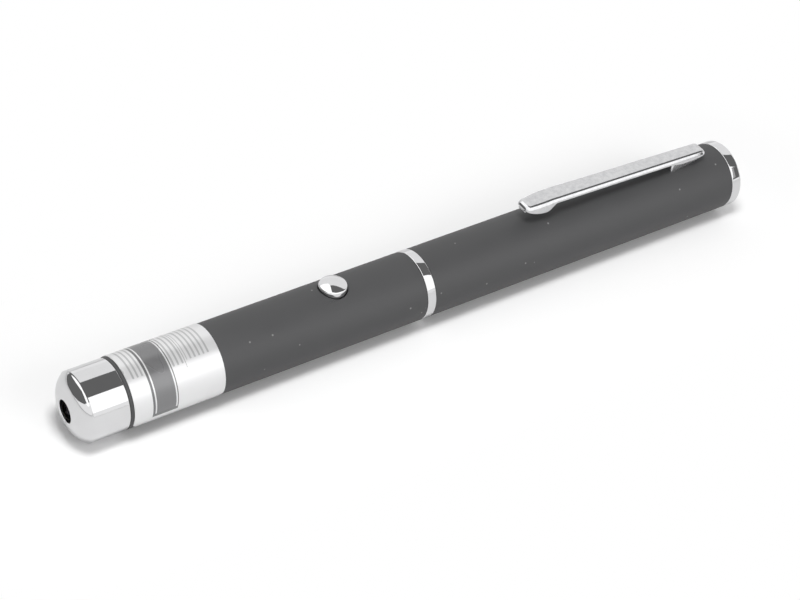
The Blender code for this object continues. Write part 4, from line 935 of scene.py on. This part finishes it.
half = clip_half(front_back) - FLUSH
rest = clip_top(front_back) - ARM_DEPTH - SADDLE_GAP
tongue = clip_half(rear_back) - SHEET - TONGUE_SIDE
tongue_top = clip_top(front_back) - SHEET - TONGUE_GAP
reach = math.asin(half / SEAT)
bm = trace((-half, SEAT * math.cos(reach)), [
    (0, 0, math.degrees(2 * reach)),
    (half, rest),
    (tongue, rest),
    (tongue, tongue_top),
    (-tongue, tongue_top),
    (-tongue, rest),
    (-half, rest),
    (-half, SEAT * math.cos(reach)),
], arc_step=3.0)
bmesh.ops.remove_doubles(bm, verts=bm.verts, dist=WELD)
bmesh.ops.contextual_create(bm, geom=bm.edges[:])
bmesh.ops.rotate(bm, cent=(0, 0, 0), matrix=Matrix.Rotation(math.pi / 2, 3, "Z"), verts=bm.verts)
long_way = bmesh.ops.extrude_face_region(bm, geom=bm.faces[:])["geom"]
far = [item for item in long_way if isinstance(item, bmesh.types.BMVert)]
saddle_length = saddle_high.x - saddle_low.x
bmesh.ops.translate(bm, vec=(saddle_length, 0, 0), verts=far)
bmesh.ops.recalc_face_normals(bm, faces=bm.faces)
print("the saddle's bar is", round(saddle_length / MM, 1), "mm long")

# %% Round the saddle's edges
SADDLE_EDGE = 0.14 * MM
SADDLE_CORNER = 0.35 * MM

upright = [edge for edge in bm.edges if abs(edge.verts[0].co.x - edge.verts[1].co.x) < WELD
           and abs(edge.verts[0].co.y - edge.verts[1].co.y) < WELD and abs(edge.verts[0].co.y) > tongue + WELD]
bmesh.ops.bevel(bm, geom=upright, affect="EDGES", offset=SADDLE_CORNER, offset_type="OFFSET", segments=5,
                profile=0.5, material=-1)
sharp = [edge for edge in bm.edges if edge.is_manifold and edge.calc_face_angle(0) > STEEP
         and min(vert.co.z for vert in edge.verts) > RADIUS + TONGUE_SIDE]
bmesh.ops.bevel(bm, geom=sharp, affect="EDGES", offset=SADDLE_EDGE, offset_type="OFFSET", segments=3,
                profile=0.5, material=-1, clamp_overlap=True)
print("edges rounded on the saddle:", len(upright) + len(sharp))

# %% Taper the saddle
SADDLE_FRONT = 0.9
SADDLE_REAR = 0.47
SADDLE_BEND = 1.5
SADDLE_SLICES = 14

for slice_line in range(1, SADDLE_SLICES):
    bmesh.ops.bisect_plane(bm, geom=bm.verts[:] + bm.edges[:] + bm.faces[:], dist=WELD,
                           plane_co=(saddle_length * slice_line / SADDLE_SLICES, 0, 0), plane_no=(1, 0, 0))
for vert in bm.verts:
    share = vert.co.x / saddle_length
    back = front_back + vert.co.x
    across = vert.co.y * (SADDLE_FRONT + (SADDLE_REAR - SADDLE_FRONT) * max(0.0, share) ** SADDLE_BEND)
    old_seat = math.sqrt(SEAT**2 - vert.co.y**2)
    seat = math.sqrt(SEAT**2 - across**2)
    shoulder = clip_top(back) - clip_depth(back) - SADDLE_GAP
    if vert.co.z < rest:
        height = seat + (vert.co.z - old_seat) / (rest - old_seat) * (shoulder - seat)
    else:
        ridge = clip_top(back) - SHEET - TONGUE_GAP
        height = shoulder + (vert.co.z - rest) / (tongue_top - rest) * (ridge - shoulder)
    vert.co = (vert.co.x, across, height)
finish("clip_base", bm, satin_chrome, "rear_tube", "chrome", "clip_saddle",
       shift=(saddle_low.x, 0, AXIS))

# %% [markdown]
# The pieces inside keep their CAD shapes, because no view reaches them while the pen is whole.
# Each still gets the finish of its real material, so that the pen is right when it is taken apart.
# Nylon filled with glass comes from its mould matt and grainy, acetal is smooth with a soft sheen,
# and the epoxy of a chip is dull, because its mould is blasted so that a laser can mark it.
# One function makes them all, because they differ only in colour, grain and gloss.

# %% Make the moulded finishes
GRAIN_DEPTH = 0.02 * MM


def moulded(name, tones, grain, rough, depth=0.2):
    """A moulded material: two tones and two roughnesses that its grain mixes, and the grain's bump."""
    made, tree, surface, place = start_material(name)
    flow = add(tree, "ShaderNodeTexNoise", {"Vector": place, "Scale": 0.2 / grain, "Detail": 2.0})
    grains = add(tree, "ShaderNodeTexNoise", {"Vector": place, "Scale": 1 / grain, "Detail": 3.0})
    tone = add(tree, "ShaderNodeMix", {0: flow.outputs["Fac"], 6: srgb(tones[0]), 7: srgb(tones[1])},
               data_type="RGBA")
    gloss = add(tree, "ShaderNodeMapRange", {0: grains.outputs["Fac"], 3: rough[0], 4: rough[1]})
    bump = add(tree, "ShaderNodeBump", {"Strength": depth, "Distance": GRAIN_DEPTH, "Height": grains.outputs["Fac"]})
    link_surface(tree, surface, tone.outputs[2], gloss.outputs[0], bump.outputs[0])
    return made


def dress(material, *names):
    """Gives CAD nodes a material."""
    for name in names:
        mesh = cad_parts[name].data
        mesh.materials.clear()
        mesh.materials.append(material)


print("moulded grain is", GRAIN_DEPTH / MM, "mm deep at most")

# %% Finish the moulded pieces
dress(moulded("glass_filled_nylon", ("1C1C1E", "262628"), 0.15 * MM, (0.45, 0.7), 0.4), "board_carrier")
dress(moulded("epoxy_mould_compound", ("1F1F20", "2B2B2C"), 0.08 * MM, (0.5, 0.75)), "driver_chip",
      "power_transistor")
dress(moulded("black_switch_nylon", ("161617", "1F1F21"), 0.12 * MM, (0.3, 0.5)), "switch_body")
dress(moulded("grey_acetal", ("8D8F92", "989A9D"), 0.12 * MM, (0.3, 0.45), 0.1), "switch_plunger", "trim_pot")
dress(moulded("ceramic_capacitor_body", ("9C8567", "AA9577"), 0.1 * MM, (0.35, 0.55)), "capacitor")
print("materials so far:", len(bpy.data.materials))

# %% [markdown]
# The metal pieces inside are turned, drawn or plated, and all show fine streaks along the way they were made.
# Lens holders are blackened, so that they don't glint round the beam: that keeps the aperture dark.
# A diode's can is gilt, smooth and bright. Spring wire is pulled through a die, which leaves it a satin grey.

# %% Finish the metal pieces inside
STREAK_DEPTH = 0.01 * MM


def drawn(name, tones, rough, streak):
    """A drawn or plated metal: two tones and two roughnesses in short streaks along the pen."""
    made, tree, surface, place = start_material(name)
    stretched = add(tree, "ShaderNodeMapping", {0: place, 3: (0.2, 1.0, 1.0)})
    streaks = add(tree, "ShaderNodeTexNoise", {"Vector": stretched.outputs[0], "Scale": 1 / streak, "Detail": 3.0})
    tone = add(tree, "ShaderNodeMix", {0: streaks.outputs["Fac"], 6: srgb(tones[0]), 7: srgb(tones[1])},
               data_type="RGBA")
    gloss = add(tree, "ShaderNodeMapRange", {0: streaks.outputs["Fac"], 3: rough[0], 4: rough[1]})
    bump = add(tree, "ShaderNodeBump", {"Strength": 0.2, "Distance": STREAK_DEPTH, "Height": streaks.outputs["Fac"]})
    link_surface(tree, surface, tone.outputs[2], gloss.outputs[0], bump.outputs[0])
    surface.inputs["Metallic"].default_value = 1.0
    return made


dress(brass, "module_housing", "clip_rivet")
dress(drawn("blackened_brass", ("6B6B6C", "5A5A5B"), (0.45, 0.6), 0.6 * MM), "lens_holder")
dress(drawn("gilt_diode_can", ("DDBB6A", "CBA556"), (0.15, 0.3), 0.8 * MM), "laser_diode")
dress(drawn("drawn_music_wire", ("A2A2A4", "8B8B8E"), (0.2, 0.4), 0.3 * MM), "focus_spring", "contact_spring",
      "tail_spring")
print("brass is also on the module's housing and the rivet")

# %% [markdown]
# The lens is clear glass with a thin coating that looks faintly violet.
# It bends light as crown glass does, and its haze is only a trace of dust.

# %% Coat the lens
CROWN_GLASS = 1.52
BLOOM = 2 * MM

glass, tree, surface, place = start_material("coated_lens_glass")
bloom = add(tree, "ShaderNodeTexNoise", {"Vector": place, "Scale": 1 / BLOOM, "Detail": 1.0})
tint = add(tree, "ShaderNodeMix", {0: bloom.outputs["Fac"], 6: srgb("F2EDF7"), 7: srgb("E6DDF0")},
           data_type="RGBA")
haze = add(tree, "ShaderNodeMapRange", {0: bloom.outputs["Fac"], 3: 0.0, 4: 0.03})
tree.links.new(tint.outputs[2], surface.inputs["Base Color"])
tree.links.new(haze.outputs[0], surface.inputs["Roughness"])
surface.inputs["Transmission Weight"].default_value = 1.0
surface.inputs["IOR"].default_value = CROWN_GLASS
dress(glass, "collimating_lens")
print("the lens has a refractive index of", CROWN_GLASS)

# %% [markdown]
# The board is green lacquer over copper tracks, which show as slightly lighter lines and stand a little proud.
# Real tracks are about 0.2 mm wide, too fine to show, so they are drawn as a coarser grid.

# %% Lacquer the board
TRACK = 0.9 * MM
TRACK_HEIGHT = 0.03 * MM

mask, tree, surface, place = start_material("green_solder_mask")
tracks = add(tree, "ShaderNodeTexBrick", {"Vector": place, "Scale": 1 / TRACK, "Mortar Size": 0.12,
                                          "Color1": srgb("1E5A34"), "Color2": srgb("1A5230"),
                                          "Mortar": srgb("2F7448")})
bump = add(tree, "ShaderNodeBump", {"Strength": 0.5, "Distance": TRACK_HEIGHT, "Height": tracks.outputs["Fac"]})
gloss = add(tree, "ShaderNodeMapRange", {0: tracks.outputs["Fac"], 3: 0.25, 4: 0.35})
link_surface(tree, surface, tracks.outputs["Color"], gloss.outputs[0], bump.outputs[0])
dress(mask, "driver_board")
print("tracks every", round(TRACK / MM, 1), "mm")

# %% [markdown]
# The cells wear a shrunk sleeve of PVC film, dark and glossy, with a lighter band at one end.
# Shrinking leaves it slightly uneven, and sliding in the tube scuffs it, which breaks up its gloss.

# %% Sleeve the cells
CELL_BAND = 5 * MM
SCUFF = 3 * MM
SCUFF_DEPTH = 0.03 * MM

sleeve, tree, surface, place = start_material("shrunk_pvc_sleeve")
apart = add(tree, "ShaderNodeSeparateXYZ", {0: place})
front_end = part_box("front_cell")[0].x
rear_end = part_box("rear_cell")[0].x
bands = [add(tree, "ShaderNodeMath", {0: apart.outputs["X"], 1: end + CELL_BAND / 2, 2: CELL_BAND / 2},
             operation="COMPARE") for end in (front_end, rear_end)]
banded = add(tree, "ShaderNodeMath", {0: bands[0].outputs[0], 1: bands[1].outputs[0]}, operation="MAXIMUM")
scuffs = add(tree, "ShaderNodeTexNoise", {"Vector": place, "Scale": 1 / SCUFF, "Detail": 4.0})
tone = add(tree, "ShaderNodeMix", {0: banded.outputs[0], 6: srgb("272C38"), 7: srgb("B9B6A8")}, data_type="RGBA")
gloss = add(tree, "ShaderNodeMapRange", {0: scuffs.outputs["Fac"], 3: 0.2, 4: 0.4})
bump = add(tree, "ShaderNodeBump", {"Strength": 0.2, "Distance": SCUFF_DEPTH, "Height": scuffs.outputs["Fac"]})
link_surface(tree, surface, tone.outputs[2], gloss.outputs[0], bump.outputs[0])
dress(sleeve, "front_cell", "rear_cell")
print("nodes that keep their CAD shape:", sum(1 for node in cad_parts.values() if not node.hide_render))

# %% [markdown]
# At the end the dressed pen is measured again and both boxes are kept, so that they can be compared.
# They should agree within a fraction of a millimetre, or some piece is out of its place.

# %% Measure the pen and finish
size = {"cad": [list(cad_low), list(cad_high)], "scene": [list(corner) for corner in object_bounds()]}
print("corners of both boxes in metres:", size)
